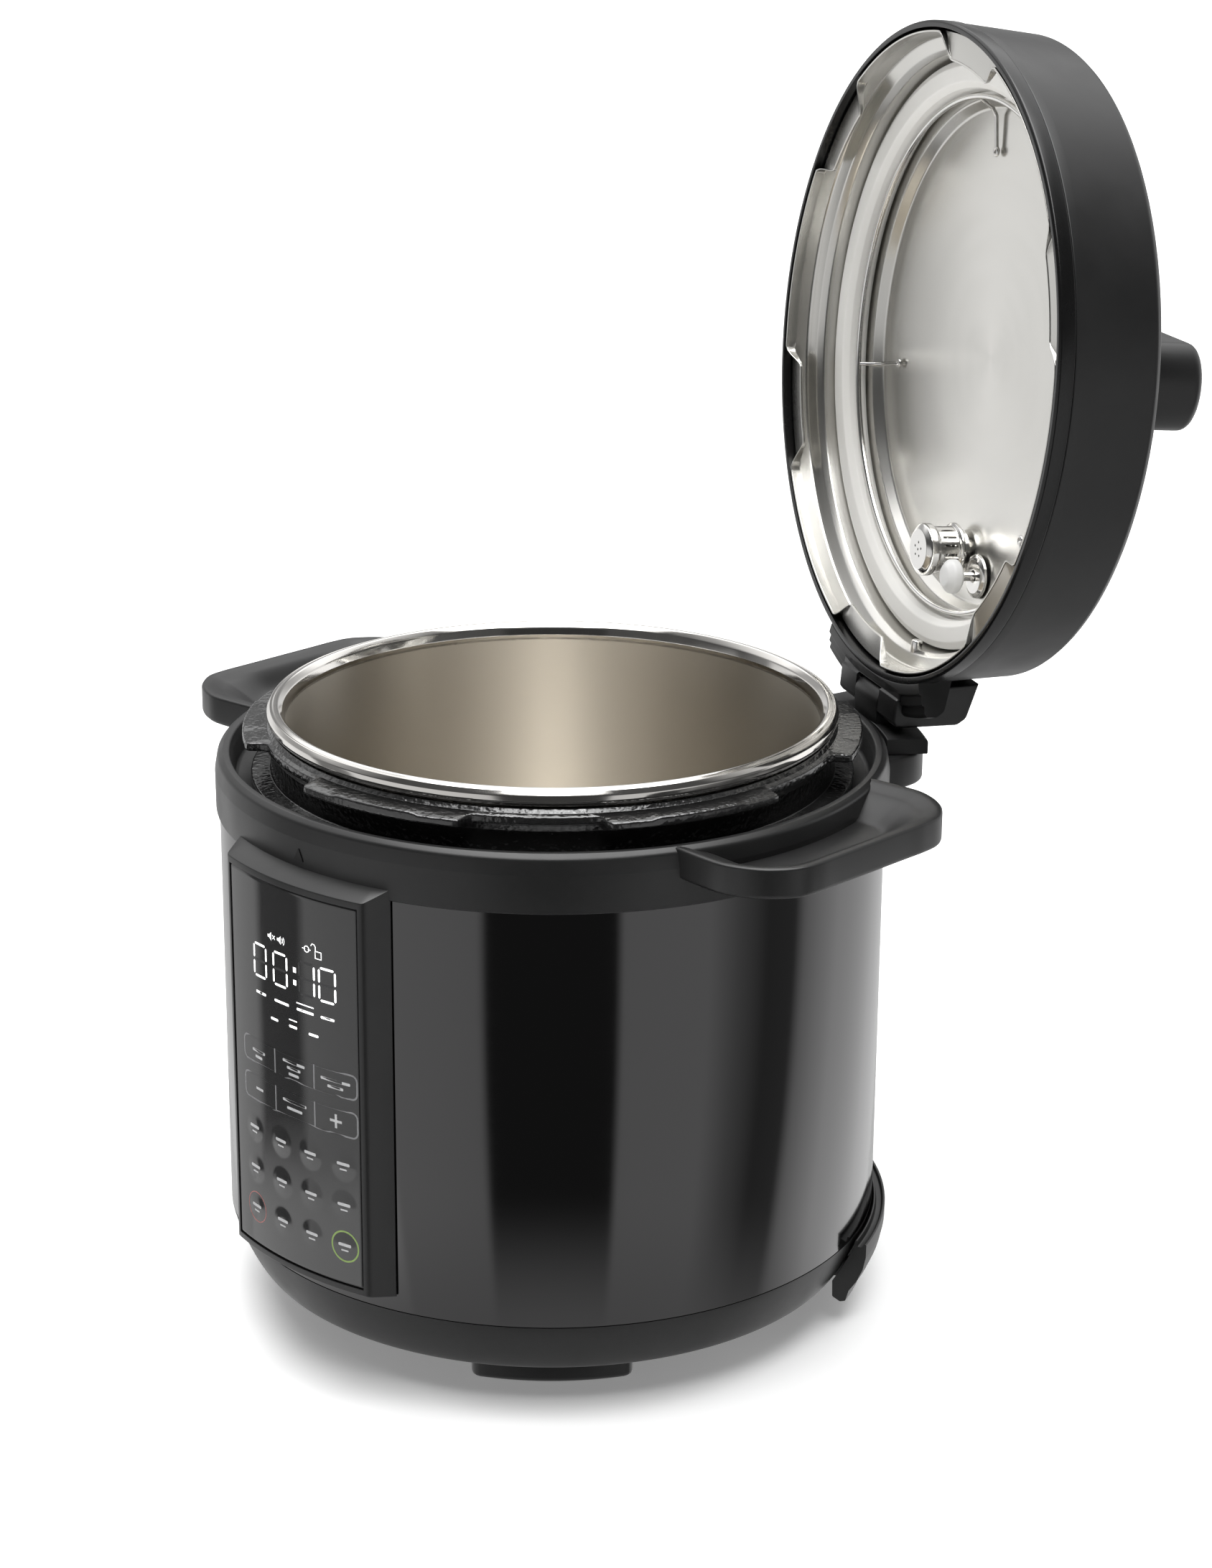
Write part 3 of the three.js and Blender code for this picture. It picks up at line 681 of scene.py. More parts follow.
# ------------------------ control panel
PANEL_HALF, FOOT_HALF, GLASS_HALF = 15.6, 18.4, 14.55  # half widths in degrees
KEY_COLUMNS = [-23.6, -5.2, 12.3, 29.8]  # along the panel's curve, from its middle line
KEY_ROWS = [108.3, 90.4, 72.5]
KEY_R, KEY_RISE = 6.0, 0.2
GLASS_R = PANEL_R - 0.35  # face of the glass, between the keys
KEY_INK_R = PANEL_R - 0.13


def panel_bezel():
    def rise(bearing):
        """Radius of the front at a bearing: flat in the middle, sloping sides."""
        t = (abs(bearing) - PANEL_HALF) / (FOOT_HALF - PANEL_HALF)
        soft = 0.5 * (t + math.sqrt(t * t + 0.006))
        return PANEL_R - (PANEL_R - SHELL_R - 0.9) * min(1, max(0, soft))

    def section(bearing):
        front, back = rise(bearing), SHELL_R + 0.45
        depth = (front - back) / (PANEL_R - back)
        return fillet([
            (back, PANEL_Z0), (back + 0.3, PANEL_Z0), (front, PANEL_Z0 + 2.1 * depth, 0.7 * depth),
            (front, PANEL_Z1 - 4.4 * depth, 0.6 * depth), (back + 0.5, PANEL_Z1 - 0.2),
            (back, PANEL_Z1)], 3)

    body = turned(section, 96, (-FOOT_HALF, FOOT_HALF))
    half = GLASS_HALF + 0.16
    recess = prism(ring_part(PANEL_R - 2.4, PANEL_R + 5, -half, half, 40),
                   GLASS_Z0 - 0.35, GLASS_Z1 + 0.35)
    return carve(body, recess)


def panel_glass():
    """Curved glass, very slightly domed over each touch key."""
    rows = [GLASS_Z0, GLASS_Z0 + 0.15, *steps(GLASS_Z0 + 0.5, GLASS_Z1 - 0.5, 190),
            GLASS_Z1 - 0.15, GLASS_Z1]

    def dome(u, z):
        near = min(math.hypot(u - x, z - y) for x in KEY_COLUMNS for y in KEY_ROWS)
        return KEY_RISE * (1 - ease(0.35 * KEY_R, 1.1 * KEY_R, near))

    def section(bearing):
        u = math.radians(bearing) * PANEL_R
        edge = 0.35  # the corners are eased over by this much
        side = edge * (1 - ease(0, 0.18, GLASS_HALF - abs(bearing)))
        front = [(GLASS_R - side - edge * (1 - ease(0, 0.6, min(z - GLASS_Z0, GLASS_Z1 - z)))
                  + dome(u, z), z) for z in rows]
        return [(PANEL_R - 2.1, GLASS_Z0), *front, (PANEL_R - 2.1, GLASS_Z1)]

    return turned(section, 150, (-GLASS_HALF, GLASS_HALF))


def panel_patch(corners, thick=0.03, radius=GLASS_R, cuts=3):
    """A closed outline of (along, height) points laid on the panel glass."""
    flat = fillet(corners, cuts)
    fine = []
    for (u, z), (v, w) in zip(flat, flat[1:] + flat[:1]):
        n = max(1, int(abs(v - u) / 2.5))
        fine += [(u + (v - u) * k / n, z + (w - z) * k / n) for k in range(n)]
    return loft([[(*polar(r, math.degrees(u / PANEL_R)), z) for u, z in fine]
                 for r in (radius - 0.3, radius + thick)])


def bar(u, z, width, height, r=0.0, radius=GLASS_R):
    w, h = width / 2, height / 2
    corners = [(u + x * w, z + y * h, r) for x, y in ((-1, -1), (1, -1), (1, 1), (-1, 1))]
    return panel_patch(corners, radius=radius)


def line_strip(points, width, closed=False):
    """Thin line on the panel, as one short patch per span."""
    pairs = list(zip(points, points[1:] + points[:1]))[:None if closed else -1]
    made = []
    for (u, z), (v, w) in pairs:
        run = Vector((v - u, w - z))
        if run.length < 1e-6:
            continue
        run.normalize()
        side = Vector((-run.y, run.x)) * width / 2
        end = run * width * 0.12
        made.append(panel_patch([
            (u - end.x + side.x, z - end.y + side.y), (u - end.x - side.x, z - end.y - side.y),
            (v + end.x - side.x, w + end.y - side.y), (v + end.x + side.x, w + end.y + side.y)]))
    return made


SEGMENTS = {"a": (0, 1, 1, 1), "g": (0, 0.5, 1, 0.5), "d": (0, 0, 1, 0), "f": (0, 0.5, 0, 1),
            "b": (1, 0.5, 1, 1), "e": (0, 0, 0, 0.5), "c": (1, 0, 1, 0.5)}
DIGITS = [(-20.4, "abcdef"), (-7.2, "abcdef"), (8.3, "bc"), (19.2, "abcdef")]
DIGIT_Z, DIGIT_WIDTH, DIGIT_HEIGHT = 177.3, 8.2, 13.8
STROKE, STROKE_GAP = 1.0, 0.55  # width, and room left at each end


def digit_segments(left, names):
    """The named strokes of a digit, with pointed ends."""
    made = []
    corner, size = Vector((left, DIGIT_Z)), Vector((DIGIT_WIDTH, DIGIT_HEIGHT))
    for name in names:
        x0, y0, x1, y1 = SEGMENTS[name]
        along = Vector((x1 - x0, y1 - y0)).normalized()
        side = Vector((along.y, -along.x)) * STROKE / 2
        point = along * STROKE / 2
        start = corner + size * Vector((x0, y0)) + along * STROKE_GAP
        end = corner + size * Vector((x1, y1)) - along * STROKE_GAP
        made.append(panel_patch([start, start + point + side, end - point + side,
                                 end, end - point - side, start + point - side]))
    return made


def function_box(z0, z1):
    """Outlined box of three touch areas."""
    left, right, splits = -30.2, 37.2, (-7.9, 15.3)
    frame_line = fillet([(left, z0, 2.6), (right, z0, 2.6), (right, z1, 2.6), (left, z1, 2.6)], 5)
    parts = line_strip(frame_line, 0.75, closed=True)
    for u in splits:
        parts += line_strip([(u, z0), (u, z1)], 0.7)
    return parts


def control_panel():
    stand_in("panel_bezel", panel_bezel(), HOME, BEZEL, 25)
    stand_in("panel_glass", panel_glass(), HOME, GLASS, 40)

    def show(name, parts, look):
        put(name, group(*parts), HOME, "panel_glass", look)

    window = [(-25.2, 145, 4), (27.6, 145, 4), (27.6, 201.5, 4), (-25.2, 201.5, 4)]
    show("display_window", [panel_patch(window, -0.005, cuts=6)], WINDOW)

    lit, unlit = [], []
    for left, names in DIGITS:
        lit += digit_segments(left, names)
        unlit += digit_segments(left, [s for s in SEGMENTS if s not in names])
    lit += [bar(5.7, z, 1.7, 2.2) for z in (181.2, 186.6)]
    lit += [bar(11.2, 172.9, 9.6, 0.5), bar(4.1, 164.4, 4.6, 0.5)]
    # speaker, speaker off, pressure and lock signs
    for u in (-8.6, -2.6):
        lit.append(panel_patch([(u - 1.9, 196.4), (u - 0.9, 196.4), (u + 0.4, 195.2),
                                (u + 0.4, 198.8), (u - 0.9, 197.6), (u - 1.9, 197.6)]))
    lit += line_strip([(-7.4, 196.2), (-5.9, 197.8)], 0.3)
    lit += line_strip([(-7.4, 197.8), (-5.9, 196.2)], 0.3)
    for r in (1.5, 2.5):
        lit += line_strip([(-2.6 + r * math.cos(a), 197 + r * math.sin(a))
                           for a in (-0.7, -0.35, 0, 0.35, 0.7)], 0.35)
    for points, closed in (
        ([(10.4, 197.4), (12.0, 197.4)], False), ([(13.6, 197.4), (15.0, 197.4)], False),
        (circle(12.8, 197.4, 1.3, 14), True),
        ([(17.4, 194.6), (20.6, 194.6), (20.6, 197.6), (17.4, 197.6)], True),
        ([(17.6, 197.6), (17.6, 199.4), (16.8, 200.3), (15.8, 200.3), (15.2, 199.4)], False),
    ):
        lit += line_strip(points, 0.35, closed)
    show("display_unlit", unlit, UNLIT)

    # short strokes stand for the labels
    strokes = [(-16.2, 170.2, 6.8), (-2.6, 170.2, 8.8), (11.2, 170.2, 9.4), (23.2, 170.2, 7),
               (-7.4, 161.6, 4.6), (4.1, 161.6, 4.6), (15.6, 161.2, 5.2)]
    lit += [bar(u, z, w, 1.1, 0.4) for u, z, w in strokes]
    legend = [bar(u, z, w, 1.2, 0.4) for u, z, w in (
        (-19.2, 143.6, 9), (-19.2, 141.0, 5), (3.7, 145.6, 13), (3.7, 143.0, 8), (3.7, 140.4, 6),
        (26.4, 144.2, 15), (26.4, 141.4, 8), (3.7, 128.3, 14), (3.7, 125.2, 9))]
    legend += [bar(-19.2, 126.9, 5, 1.1), bar(26.4, 126.9, 6, 1.1), bar(26.4, 126.9, 1.1, 6)]
    for u in KEY_COLUMNS:
        for z in KEY_ROWS:
            legend += [bar(u, z + 0.7, 6.4, 1.3, 0.5, KEY_INK_R),
                       bar(u, z - 1.7, 3.6, 0.7, 0.3, KEY_INK_R)]
    show("display_lit", lit, LIT)
    show("panel_legend", legend, LEGEND)
    show("panel_boxes", function_box(138.2, 148.6) + function_box(121.4, 132.4), LEGEND_DIM)
    start, stop = KEY_COLUMNS[3], KEY_COLUMNS[0]
    show("start_ring", line_strip(circle(start, KEY_ROWS[2], 6.6, 48), 0.75, True), START_RING)
    show("stop_ring", line_strip(circle(stop, KEY_ROWS[2], 6.6, 48), 0.4, True), STOP_RING)


# ------------------------ pots
LUG_PITCH = 60
LUG_GAP_HALF, LUG_GAP_MIDDLE = 12.5, 8.4 - math.degrees(LOCK_TURN)
LUG_R, LUG_GAP_R = 130.4, 122.0


def pitch_offset(bearing, middle_bearing):
    """Degrees from the nearest of the six places, LUG_PITCH apart."""
    return abs((bearing - middle_bearing + LUG_PITCH / 2) % LUG_PITCH - LUG_PITCH / 2)


def fixed_pot():
    def section(bearing):
        off = pitch_offset(bearing, LUG_GAP_MIDDLE)
        r = LUG_GAP_R + (LUG_R - LUG_GAP_R) * ease(LUG_GAP_HALF - 0.6, LUG_GAP_HALF + 0.9, off)
        # the rim steps up a little in the middle of each lug
        lift = 0.9 * ease(20.5, 22.0, off)
        return fillet([
            (16, 93.3), (110, 93.3), (114.5, 99), (114.5, 255.2, 1), (116.3, 257.3, 1),
            (118.4, 257.3, 0.8), (119.8, 255.6, 0.6), (r - 0.3, 254.7 + lift, 1.1),
            (r, 251.6, 0.9), (120.6, 251, 0.8), (118.8, 248, 1), (118.6, 237.2, 0.8),
            (127, 236.9, 0.8), (127, 234.3, 0.8), (118.6, 234, 0.5), (118.6, 98), (112, 90),
            (16, 90)], 3)

    return turned(section, 480)


POT_OUT_R, POT_WALL, POT_SEAM = 113.0, 0.8, 258.6


def inner_pot():
    """The spun body of the pot, up to where its rolled rim starts."""
    out, inside = POT_OUT_R, POT_OUT_R - POT_WALL
    return turned(fillet([
        (0, POT_Z), (98, POT_Z, 6), (106, 106, 8), (111, 111, 8), (out, 119, 8), (out, POT_SEAM),
        (inside, POT_SEAM), (inside, 119.5, 8), (110.2, 112.3, 8), (105.6, 107.4, 8),
        (98, 106, 8), (60, 106.2), (0, 106.8)], 5))


def pot_rim():
    """Rolled rim, with a fine groove round its top."""
    return turned(fillet([
        (POT_OUT_R, POT_SEAM - 1), (113.6, POT_SEAM - 0.8, 0.3), (114.8, 257.9, 0.8),
        (118.4, 257.9, 1.6), (RIM_R, 260.2, 2.2), (RIM_R, 262.6, 1.6), (118.5, 264.6, 0.9),
        (117.7, 264.35, 0.4), (117.0, 264.85, 0.4), (115.4, RIM_Z, 1.4), (113.2, 262.9, 2.4),
        (POT_OUT_R - POT_WALL, 259.8, 3), (POT_OUT_R - POT_WALL, POT_SEAM - 1)], 6))


def level_marks():
    """Short pressed lines up the inside of the pot."""
    radius, bearing = POT_OUT_R - POT_WALL, 100
    made = []
    for k in range(6):
        z, wide = 150 + 18 * k, 4.5 if k % 2 else 8
        made.append(prism(ring_part(radius - 0.12, radius + 0.2, bearing, bearing + wide / 2, 6),
                          z, z + 0.7))
    return group(*made)


# ------------------------ hinge
def hinge_rod(half, r, soft=0.0):
    return along_x(circle(HINGE_R, HINGE_Z, r, 32), -half, half, soft)


KNUCKLE_HALF, PIN_HALF = 12.0, 28.0


def hinge_carriage():
    """Saddle on the collar's track, with one knuckle that the lid's pair closes over."""
    low = bottom("hinge_carriage")
    saddle = turned(fillet([(142.8, low, 0.5), (160.5, low, 0.5), (160.5, 243, 1.6),
                            (142.8, 243, 0.6)], 3), 48, (166.4, 193.6))
    top_arc = [(HINGE_R + 6.5 * math.cos(a), HINGE_Z + 6.5 * math.sin(a))
               for a in (math.pi * k / 16 for k in range(17))]
    ear = [(HINGE_R - 6.5, 238), (HINGE_R + 6.5, 238), *top_arc]
    knuckle = along_x(ear, -KNUCKLE_HALF, KNUCKLE_HALF, 0.5)
    return group(saddle, carve(knuckle, hinge_rod(40, 3.35)))


# ------------------------ lid, drawn closed and locked
# Heights in sections are above the lid's lower edge.
TRIM_TOP = 7.0
SEAM = TRIM_TOP + 0.3
HANDLE_TOP = 80.1
TAB_BEARING, TAB_HALF, TAB_DEPTH = 8.4, 10.5, 10.7
VENT, FLOAT = (0.0, 84.0), (19.0, 91.0)  # plan places of the two valves


def lid_section(points, cuts=4):
    return fillet([(r, LID_Z + s, *soft) for r, s, *soft in points], cuts)


COVER_TOP = [(135.4, 44.4, 3), (133.8, 46.6, 2), (130.8, 47.9, 4), (119, 51.9, 12), (95, 55.2, 30),
             (60, 56.5, 40), (0, 56.5)]


def lid_cover():
    shell = turned(lid_section([
        (137.9, SEAM, 0.6), (137.8, 11.5, 20), *COVER_TOP, (0, 53.9), (60, 53.9), (94, 52.7),
        (118, 49.5), (129.4, 45.8), (131.8, 44.4), (133, 42.6), (135.3, 11.5), (135.6, SEAM)], 6))
    # stepped skirt over the hinge
    brow = turned(lid_section([
        (138.5, 0.5, 0.4), (143.2, 0.5, 0.7), (143.8, 1.7, 0.4), (147.8, 1.7, 0.7),
        (148.4, 2.9, 0.4), (151.6, 2.9, 0.9), (153, 4.4, 1.2), (153, 8.5, 3), (150.5, 12, 3),
        (137.5, 16), (137.3, 7.6), (138.5, 7.6)]), 64, (160, 200))
    tail = along_x(fillet([
        (139, 247), (142.4, 247, 0.5), (143, 245.9, 0.5), (153, 245.9, 1.6), (155.1, 247.8, 1.6),
        (155.5, 252, 2), (154.4, 276.5, 4), (151.5, 280.5, 4), (136, 284.5)], 5), -29.7, 29.7, 1.2)
    slot = KNUCKLE_HALF + 0.3
    knuckle_room = block(-slot, slot, HINGE_R - 7, 170, 236, HINGE_Z + 7.7)
    bore = hinge_rod(PIN_HALF + 0.3, 3.35)
    vent_hole = rod(*VENT, 5.7, 290, 310)
    float_hole = rod(*FLOAT, 4.4, 290, 310)
    return group(carve(shell, vent_hole, float_hole), carve(brow, knuckle_room, bore),
                 carve(tail, knuckle_room, bore))


def lid_trim():
    return turned(lid_section([
        (135.6, 0, 0.4), (137.6, 0, 0.9), (138.5, 0.9, 0.9), (138.5, TRIM_TOP, 0.5),
        (135.6, TRIM_TOP, 0.3)]))


def top_of_handle():
    """Height of the handle above the floor with the lid closed, from where it is when open."""
    into_lid = OPENED.inverted()
    lo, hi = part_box("lid_handle")
    corners = [into_lid @ Vector((x, y, z)) for x in (lo.x, hi.x) for y in (lo.y, hi.y)
               for z in (lo.z, hi.z)]
    return min(LID_Z + HANDLE_TOP, max(c.z for c in corners) / MM)


def lid_handle():
    right = [(98 + 13 * math.cos(a), 18 * math.sin(a) - 9)
             for a in (math.pi * (k / 28 - 0.5) for k in range(29))]
    stadium = right + [(-x, -18 - y) for x, y in right]
    bar_shape = prism(stadium, LID_Z + 40, top_of_handle(), 5.0, 6)
    below = turned(lid_section([(0, 20), (137, 20), *((r, s + 0.3, *c) for r, s, *c in COVER_TOP)]))
    arch = along_y([(-82, 288), (82, 288), (82, 309), (76, 312.5, 5), (-76, 312.5, 5), (-82, 309)],
                   -45, 30)
    return carve(bar_shape, below, arch)


def lid_liner():
    """Pressed steel inside of the lid, its edge dented in at the six bayonet tabs."""
    def section(bearing):
        off = pitch_offset(bearing, TAB_BEARING)
        turned_in = 1 - ease(TAB_HALF - 2.6, TAB_HALF + 1.6, off)
        edge, rise = 134.4 - TAB_DEPTH * turned_in, 0.4 + 2.7 * turned_in
        return lid_section([
            (edge, rise, 0.3), (edge, 3.5, 0.3), (134.4, 3.9, 0.4), (134.2, 11.2, 1.5),
            (128.6, 14.2, 2), (126.6, 16.4, 1.5), (125.8, 31.4, 1), (124.4, 32.6, 1),
            (108.6, 33, 1.5), (105.6, 37.4, 1.5), (60, 38.9), (0, 39.6), (0, 38.6), (60, 37.9),
            (104.8, 36.4, 1.8), (107.8, 32, 1.5), (123.8, 31.6, 1.2), (124.8, 30.6, 1),
            (125.6, 15.8, 1.8), (127.8, 13.2, 2.4), (133.0, 10.8, 1.8), (133.5, 5.0, 0.6),
            (edge - 0.9, 4.5, 0.5), (edge - 0.9, rise, 0.3)], 3)

    holes = [rod(*VENT, 5.7, 275, 295), rod(*FLOAT, 2.7, 275, 295)]
    return carve(turned(section, 420), *holes)


def sealing_ring():
    return turned(lid_section([
        (112, 22.6, 0.8), (114.4, 20, 1.5), (121, 19.3, 1.5), (124, 20.8, 1), (124, 30.3, 1),
        (112.6, 31, 1), (110.9, 29, 1)]))


def seal_rack():
    """Wire hoop behind the seal, with four spokes that end in a small eye."""
    hoop = tube([(*polar(108.6, b), LID_Z + 25.5) for b in steps(0, 360, 180)[:-1]], 1.25, 12, True)
    spoke = tube([(0, r, LID_Z + s) for r, s in fillet(
        [(108.4, 25.8), (106.6, 28.4, 3), (104.2, 32.2, 3), (101, 34.2, 3), (87.5, 35.2)], 5,
        closed=False)], 0.95, 12)
    eye = tube([(x, y, LID_Z + 35.2) for x, y in circle(0, 86.2, 1.5, 24)], 0.8, 10, True)
    clips = [spun(group(spoke, eye), b - 180) for b in (75, 140, 257, 352)]
    return group(hoop, *clips)


def spot(points, centre, sides, cuts=4):
    return shifted(turned(lid_section(points, cuts), sides), *centre)


def vent_shield():
    cup = spot([
        (0, 15.4), (8.6, 15.4, 1.2), (11.3, 17, 1.6), (11.3, 20.6, 1.0), (10.0, 21.8, 0.8),
        (10.0, 30.6, 0.6), (11.6, 31.4, 0.6), (11.6, 32.9, 0.5), (9.2, 32.9, 0.3), (9.2, 22.3, 0.6),
        (10.2, 20.4, 0.8), (10.2, 17.6, 0.8), (8.4, 16.4), (0, 16.4)], VENT, 96)
    slots = [shifted(spun(block(-0.55, 0.55, 8, 12.2, LID_Z + 23.4, LID_Z + 29.6), 22.5 * k), *VENT)
             for k in range(16)]
    holes = [rod(VENT[0] + x, VENT[1] + y, 0.55, LID_Z + 15, LID_Z + 17.5, 12)
             for x, y in [(0, 0)] + [polar(3.1, 72 * k) for k in range(5)]]
    return carve(cup, *slots, *holes)


def steam_pipe():
    return spot([(2.5, 29, 0.4), (4.6, 29, 0.4), (4.6, 33.3), (8.9, 33.3), (8.9, 35.7), (5, 35.9),
                 (5, 67), (2.5, 67)], VENT, 40)


def steam_knob():
    x, y = VENT
    knob = spot([(5.5, 57, 0.4), (13.5, 57, 0.6), (14.5, 58.4, 0.6), (14.5, 66, 2), (12, 70.4, 2),
                 (0, 71), (0, 67.4), (5.5, 67.4)], VENT, 72)
    lever = block(x - 3, x + 3, y + 11, y + 23, LID_Z + 57, LID_Z + 63, 1.0, 2.5)
    grips = [shifted(spun(block(-0.8, 0.8, 13.9, 15.0, LID_Z + 59, LID_Z + 65, 0.2), 30 * k), x, y)
             for k in range(12) if k not in (5, 6, 7)]
    return group(knob, lever, *grips)


def float_pin():
    return spot([(0, 27.3), (2, 27.3, 0.2), (2, 50), (3.6, 50.4, 0.3), (3.6, 55.6, 0.8),
                 (0, 56.2)], FLOAT, 32)


def float_cap():
    return spot([(0, 19.8), (4.6, 20.0, 2), (7.3, 22.4, 2.2), (7.3, 25.6, 1.2), (5.4, 27, 0.6),
                 (0, 27)], FLOAT, 48, 6)


def float_seat():
    return spot([(2.6, 33.6, 0.3), (7.4, 33.6, 0.7), (9.4, 34.6, 0.6), (9.6, 35.9, 0.3),
                 (2.6, 35.9)], FLOAT, 48)


def interlock_pin():
    return along_y(circle(10, LID_Z + 15.6, 2.4, 28), 121.6, 133.2, 0.7)


# ------------------------ assembly
stand_in("outer_shell", outer_shell(), HOME, SHELL_STEEL)
stand_in("collar", collar(), HOME, HOUSING, 40)
stand_in("base_bowl", base_bowl(), HOME, HOUSING)
for where, bearing in (("front_right", 45), ("rear_right", 135), ("rear_left", 225),
                       ("front_left", 315)):
    stand_in(f"foot_{where}", foot_block(bearing), HOME, BLACK)
    stand_in(f"foot_pad_{where}", foot_pad(bearing), HOME, RUBBER)
stand_in("cord_wrap_right", cord_wrap(111, 169), HOME, BLACK)
stand_in("cord_wrap_left", cord_wrap(191, 249), HOME, BLACK)
stand_in("inlet_socket", inlet_socket(), HOME, BLACK)
control_panel()
# raised index mark, given the near-black painted shade of a notch
mark = along_y([(-2.6, 229.2), (2.6, 229.2), (0, 234.6, 0.3)], -142.3, -141)
stand_in("index_mark", mark, HOME, MARK_SHADE)

stand_in("fixed_pot", fixed_pot(), HOME, ENAMEL, 50)
stand_in("inner_pot", inner_pot(), HOME, POT_STEEL, 50)
put("pot_rim", pot_rim(), HOME, "inner_pot", RIM_STEEL, 40)
put("pot_level_marks", level_marks(), HOME, "inner_pot", BRIGHT)

stand_in("hinge_carriage", hinge_carriage(), UNLOCKED, BLACK)
stand_in("hinge_pin", hinge_rod(PIN_HALF, 3, 0.5), UNLOCKED, BRIGHT)
for node, draw, look, slot in (
    ("lid_cover", lid_cover, LID_PLASTIC, "plastic_dark"),
    ("lid_trim", lid_trim, TRIM, "plastic_black"),
    ("lid_handle", lid_handle, LID_PLASTIC, "plastic_dark"),
    ("lid_liner", lid_liner, LINER_STEEL, "steel_bright"),
    ("sealing_ring", sealing_ring, SEAL, "silicone_clear"),
    ("seal_rack", seal_rack, BRIGHT, "steel_bright"),
    ("vent_shield", vent_shield, BRIGHT, "steel_bright"),
    ("steam_pipe", steam_pipe, BRIGHT, "steel_bright"),
    ("steam_knob", steam_knob, BLACK, "plastic_black"),
    ("float_pin", float_pin, BRIGHT, "steel_bright"),
    ("float_cap", float_cap, CAP, "silicone_clear"),
    ("float_seat", float_seat, BRIGHT, "steel_bright"),
    ("interlock_pin", interlock_pin, BRIGHT, "steel_bright"),
):
    stand_in(node, draw(), OPENED, look, 40)

# CAD nodes shown as they are
for node, look, slot in (
    ("heating_plate", ALLOY, "aluminium"), ("temp_sensor", BRIGHT, "steel_bright"),
    ("sensor_mount", ALLOY, "aluminium"), ("power_board", BOARD, "board_green"),
    *((f"base_screw_{k}", SATIN, "steel_brushed") for k in (1, 2, 3, 4)),
    *((f"inlet_pin_{k}", BRASS, "brass") for k in (1, 2, 3)),
):
    part = frame["nodes"][node]
    part.data.materials.clear()
    part.data.materials.append(look)


# ------------------------ floor, light and camera
def floor():
    """Wide pale floor, hidden from reflections."""
    mesh = bpy.data.meshes.new("floor")
    bm = bmesh.new()
    bmesh.ops.create_circle(bm, cap_ends=True, segments=96, radius=40)
    bm.to_mesh(mesh)
    bm.free()
    made = bpy.data.objects.new("floor", mesh)
    made.location.z = -0.0002  # clear of the feet
    bpy.context.scene.collection.objects.link(made)
    look = Look("floor", (0.86, 0.86, 0.86), Specular_IOR_Level=0.1, Emission_Strength=0.22)
    look.set("Emission Color", (1, 1, 1, 1))
    look.roughness(look.noise(3, 2), 0.8, 0.9)
    mesh.materials.append(look.material)
    made.visible_glossy = False


CAMERA_BEARING = 43.0


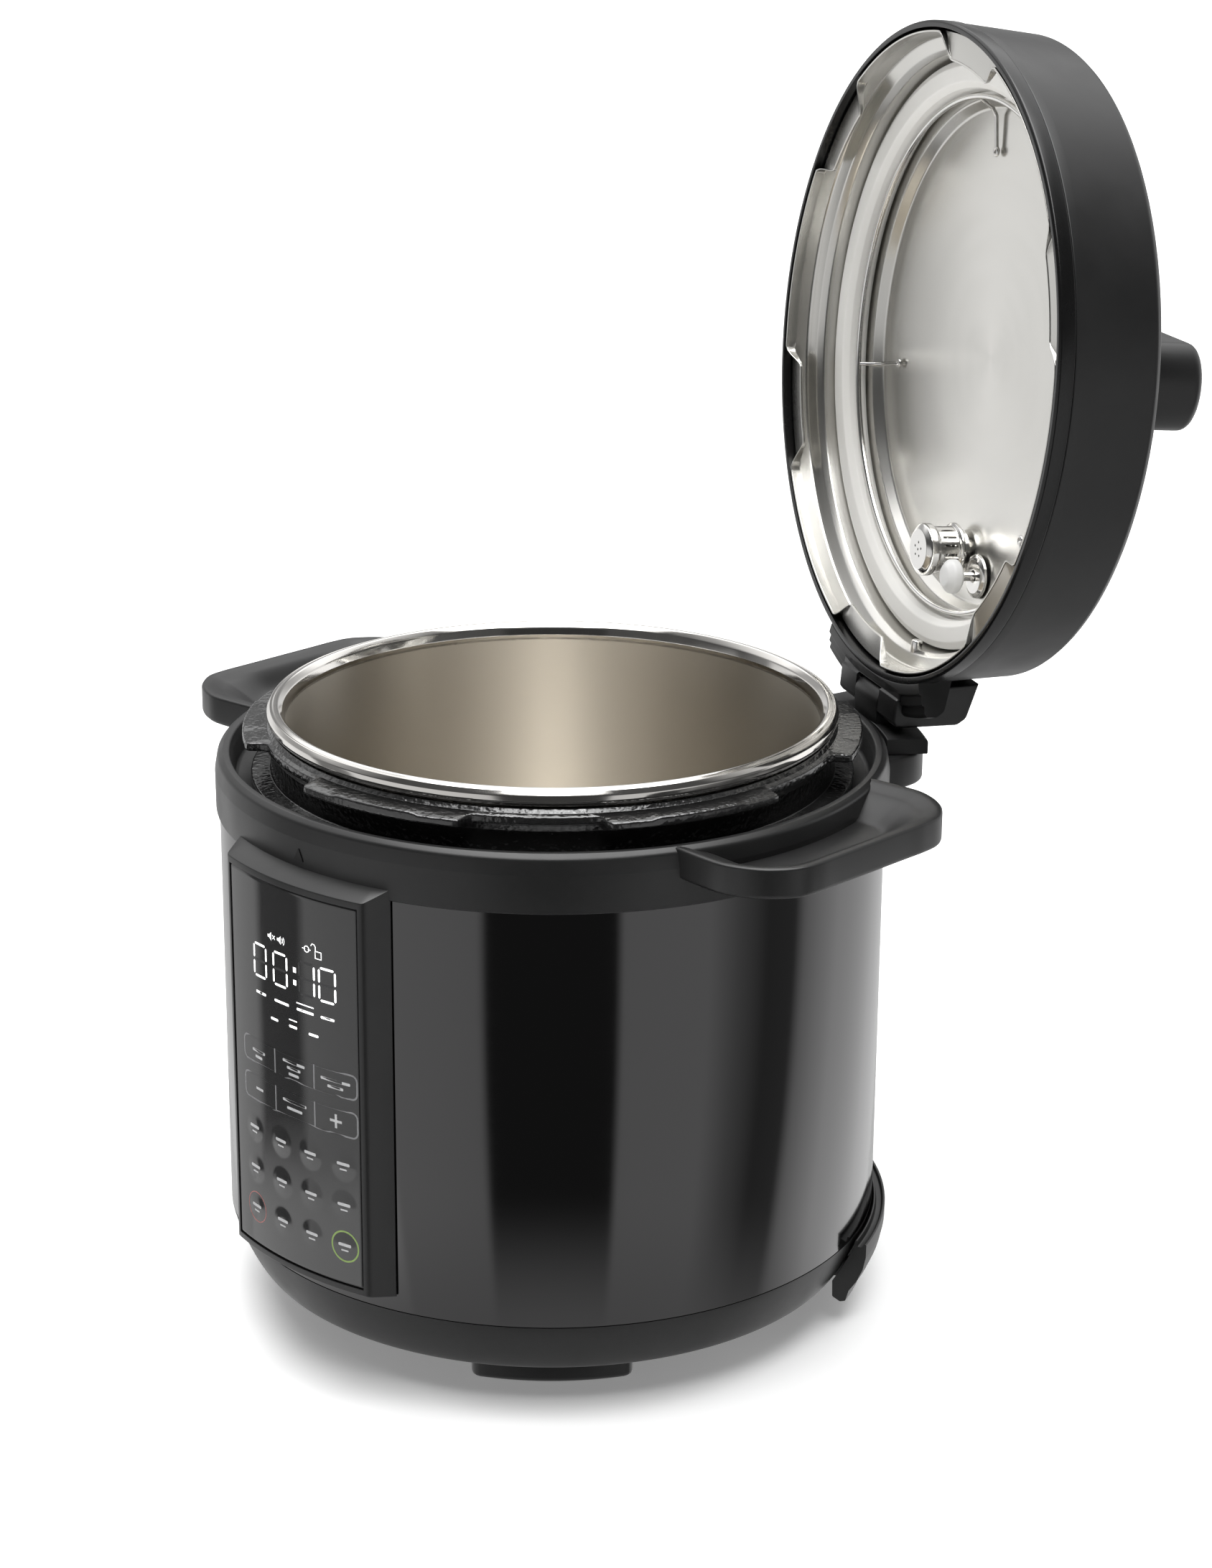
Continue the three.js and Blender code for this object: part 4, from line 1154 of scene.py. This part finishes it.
def studio():
    """Soft boxes overhead and over the camera, a dark screen round the camera, pale walls.

    The backdrop that the camera sees directly is plain white.
    """
    world = bpy.data.worlds.new("studio")
    bpy.context.scene.world = world
    world.use_nodes = True
    world.node_tree.nodes.clear()
    sky = Nodes(world.node_tree)

    place = sky.node("ShaderNodeTexCoord").outputs["Generated"]
    height = sky.split(place)["Z"]
    turn = sky.node("ShaderNodeVectorRotate", rotation_type="Z_AXIS")
    turn.inputs["Angle"].default_value = -math.radians(CAMERA_BEARING)
    sky.link(place, turn.inputs["Vector"])
    u, v, _ = sky.split(turn.outputs[0])
    bearing = sky.math("ARCTAN2", u, sky.math("MULTIPLY", v, -1.0))
    # share of a turn: 0.5 on the camera's side, 0 and 1 behind the object
    share = sky.math("ADD", sky.math("DIVIDE", bearing, 2 * math.pi), 0.5)

    def level(stops):
        """Light level through (degrees, level) stops from -180 to 180, 0 on the camera's side."""
        brightest = max(value for _, value in stops)
        made = sky.node("ShaderNodeValToRGB")
        line = made.color_ramp.elements
        shades = [((b + 180) / 360, (*[value / brightest] * 3, 1)) for b, value in stops]
        line[0].color, line[1].color = shades[0][1], shades[-1][1]
        for at, shade in shades[1:-1]:
            line.new(at).color = shade
        sky.link(share, made.inputs[0])
        return sky.math("MULTIPLY", made.outputs[0], brightest)

    def fade(below, above, start, end):
        """From one level to another between two heights of the direction."""
        part = sky.spread(height, start, end, 0, 1, "SMOOTHSTEP")
        change = sky.math("SUBTRACT", above, below)
        return sky.math("ADD", below, sky.math("MULTIPLY", part, change))

    low = level([(-180, 0.45), (-150, 0.95), (-126, 1.0), (-116, 0.9), (-108, 0.85), (-104, 0.2),
                 (-87, 0.2), (-83, 0.75), (-56, 0.70), (-22, 0.62), (-19.5, 0.05), (23, 0.05),
                 (25, 0.62), (55, 0.64), (66, 0.35), (72, 0.24), (78, 0.12), (90, 0.14),
                 (95, 0.7), (103, 1.0), (114, 1.3), (126, 1.25), (145, 1.15), (165, 0.8),
                 (180, 0.45)])
    front_left = level([(-180, 0), (-120, 0), (-114, 1.1), (-58, 1.1), (-50, 0), (180, 0)])
    mid = level([(-180, 0.25), (-140, 0.45), (-110, 0.35), (-90, 0.08), (-24, 0.08), (-20, 0.04),
                 (22, 0.04), (26, 0.08), (90, 0.10), (100, 0.8), (125, 1.0), (150, 0.5),
                 (180, 0.25)])
    high = level([(-180, 1.7), (-130, 1.4), (-100, 0.4), (-75, 0.08), (75, 0.08), (100, 0.6),
                  (130, 1.4), (180, 1.7)])
    over_camera = level([(-180, 0), (-27, 0), (-20, 6), (-13, 9), (-7, 7), (0, 12), (8, 13),
                         (13, 8), (19, 9), (25, 5), (31, 0), (180, 0)])

    lowest = sky.math("MAXIMUM", low, fade(front_left, 0.0, -0.44, -0.40))
    sides = fade(fade(lowest, mid, 0.02, 0.26), high, 0.36, 0.50)
    lit = sky.math("MAXIMUM", sides, fade(0.0, over_camera, 0.76, 0.84))
    overhead, below = 6.0, 0.5
    around = fade(below, fade(lit, overhead, 0.86, 0.92), -0.80, -0.55)
    surround, seen = sky.node("ShaderNodeBackground"), sky.node("ShaderNodeBackground")
    for backdrop in (surround, seen):
        backdrop.inputs["Color"].default_value = (1, 1, 1, 1)
        backdrop.inputs["Strength"].default_value = 1.0
    sky.link(around, surround.inputs["Strength"])
    seen_by_camera = sky.node("ShaderNodeLightPath").outputs["Is Camera Ray"]
    shown = sky.result("ShaderNodeMixShader",
                       (seen_by_camera, surround.outputs[0], seen.outputs[0]))
    sky.link(shown, sky.node("ShaderNodeOutputWorld").inputs["Surface"])


def camera():
    data = bpy.data.cameras.new("camera")
    data.lens, data.sensor_width = 79.94, 36.0
    made = bpy.data.objects.new("camera", data)
    right = Vector((0.71694, 0.69711, 0.00612))
    up = Vector((-0.22982, 0.22805, 0.94614))
    back = Vector((0.65816, -0.67973, 0.32371))
    place = AXIS.xy.to_3d() + Vector((0.98667, -0.98667, 0.70443))
    made.matrix_world = Matrix.Translation(place) @ Matrix((right, up, back)).transposed().to_4x4()
    data.clip_start, data.clip_end = 0.05, 200
    bpy.context.scene.collection.objects.link(made)
    bpy.context.scene.camera = made


floor()
studio()
camera()
bpy.context.scene.view_settings.view_transform = "Standard"
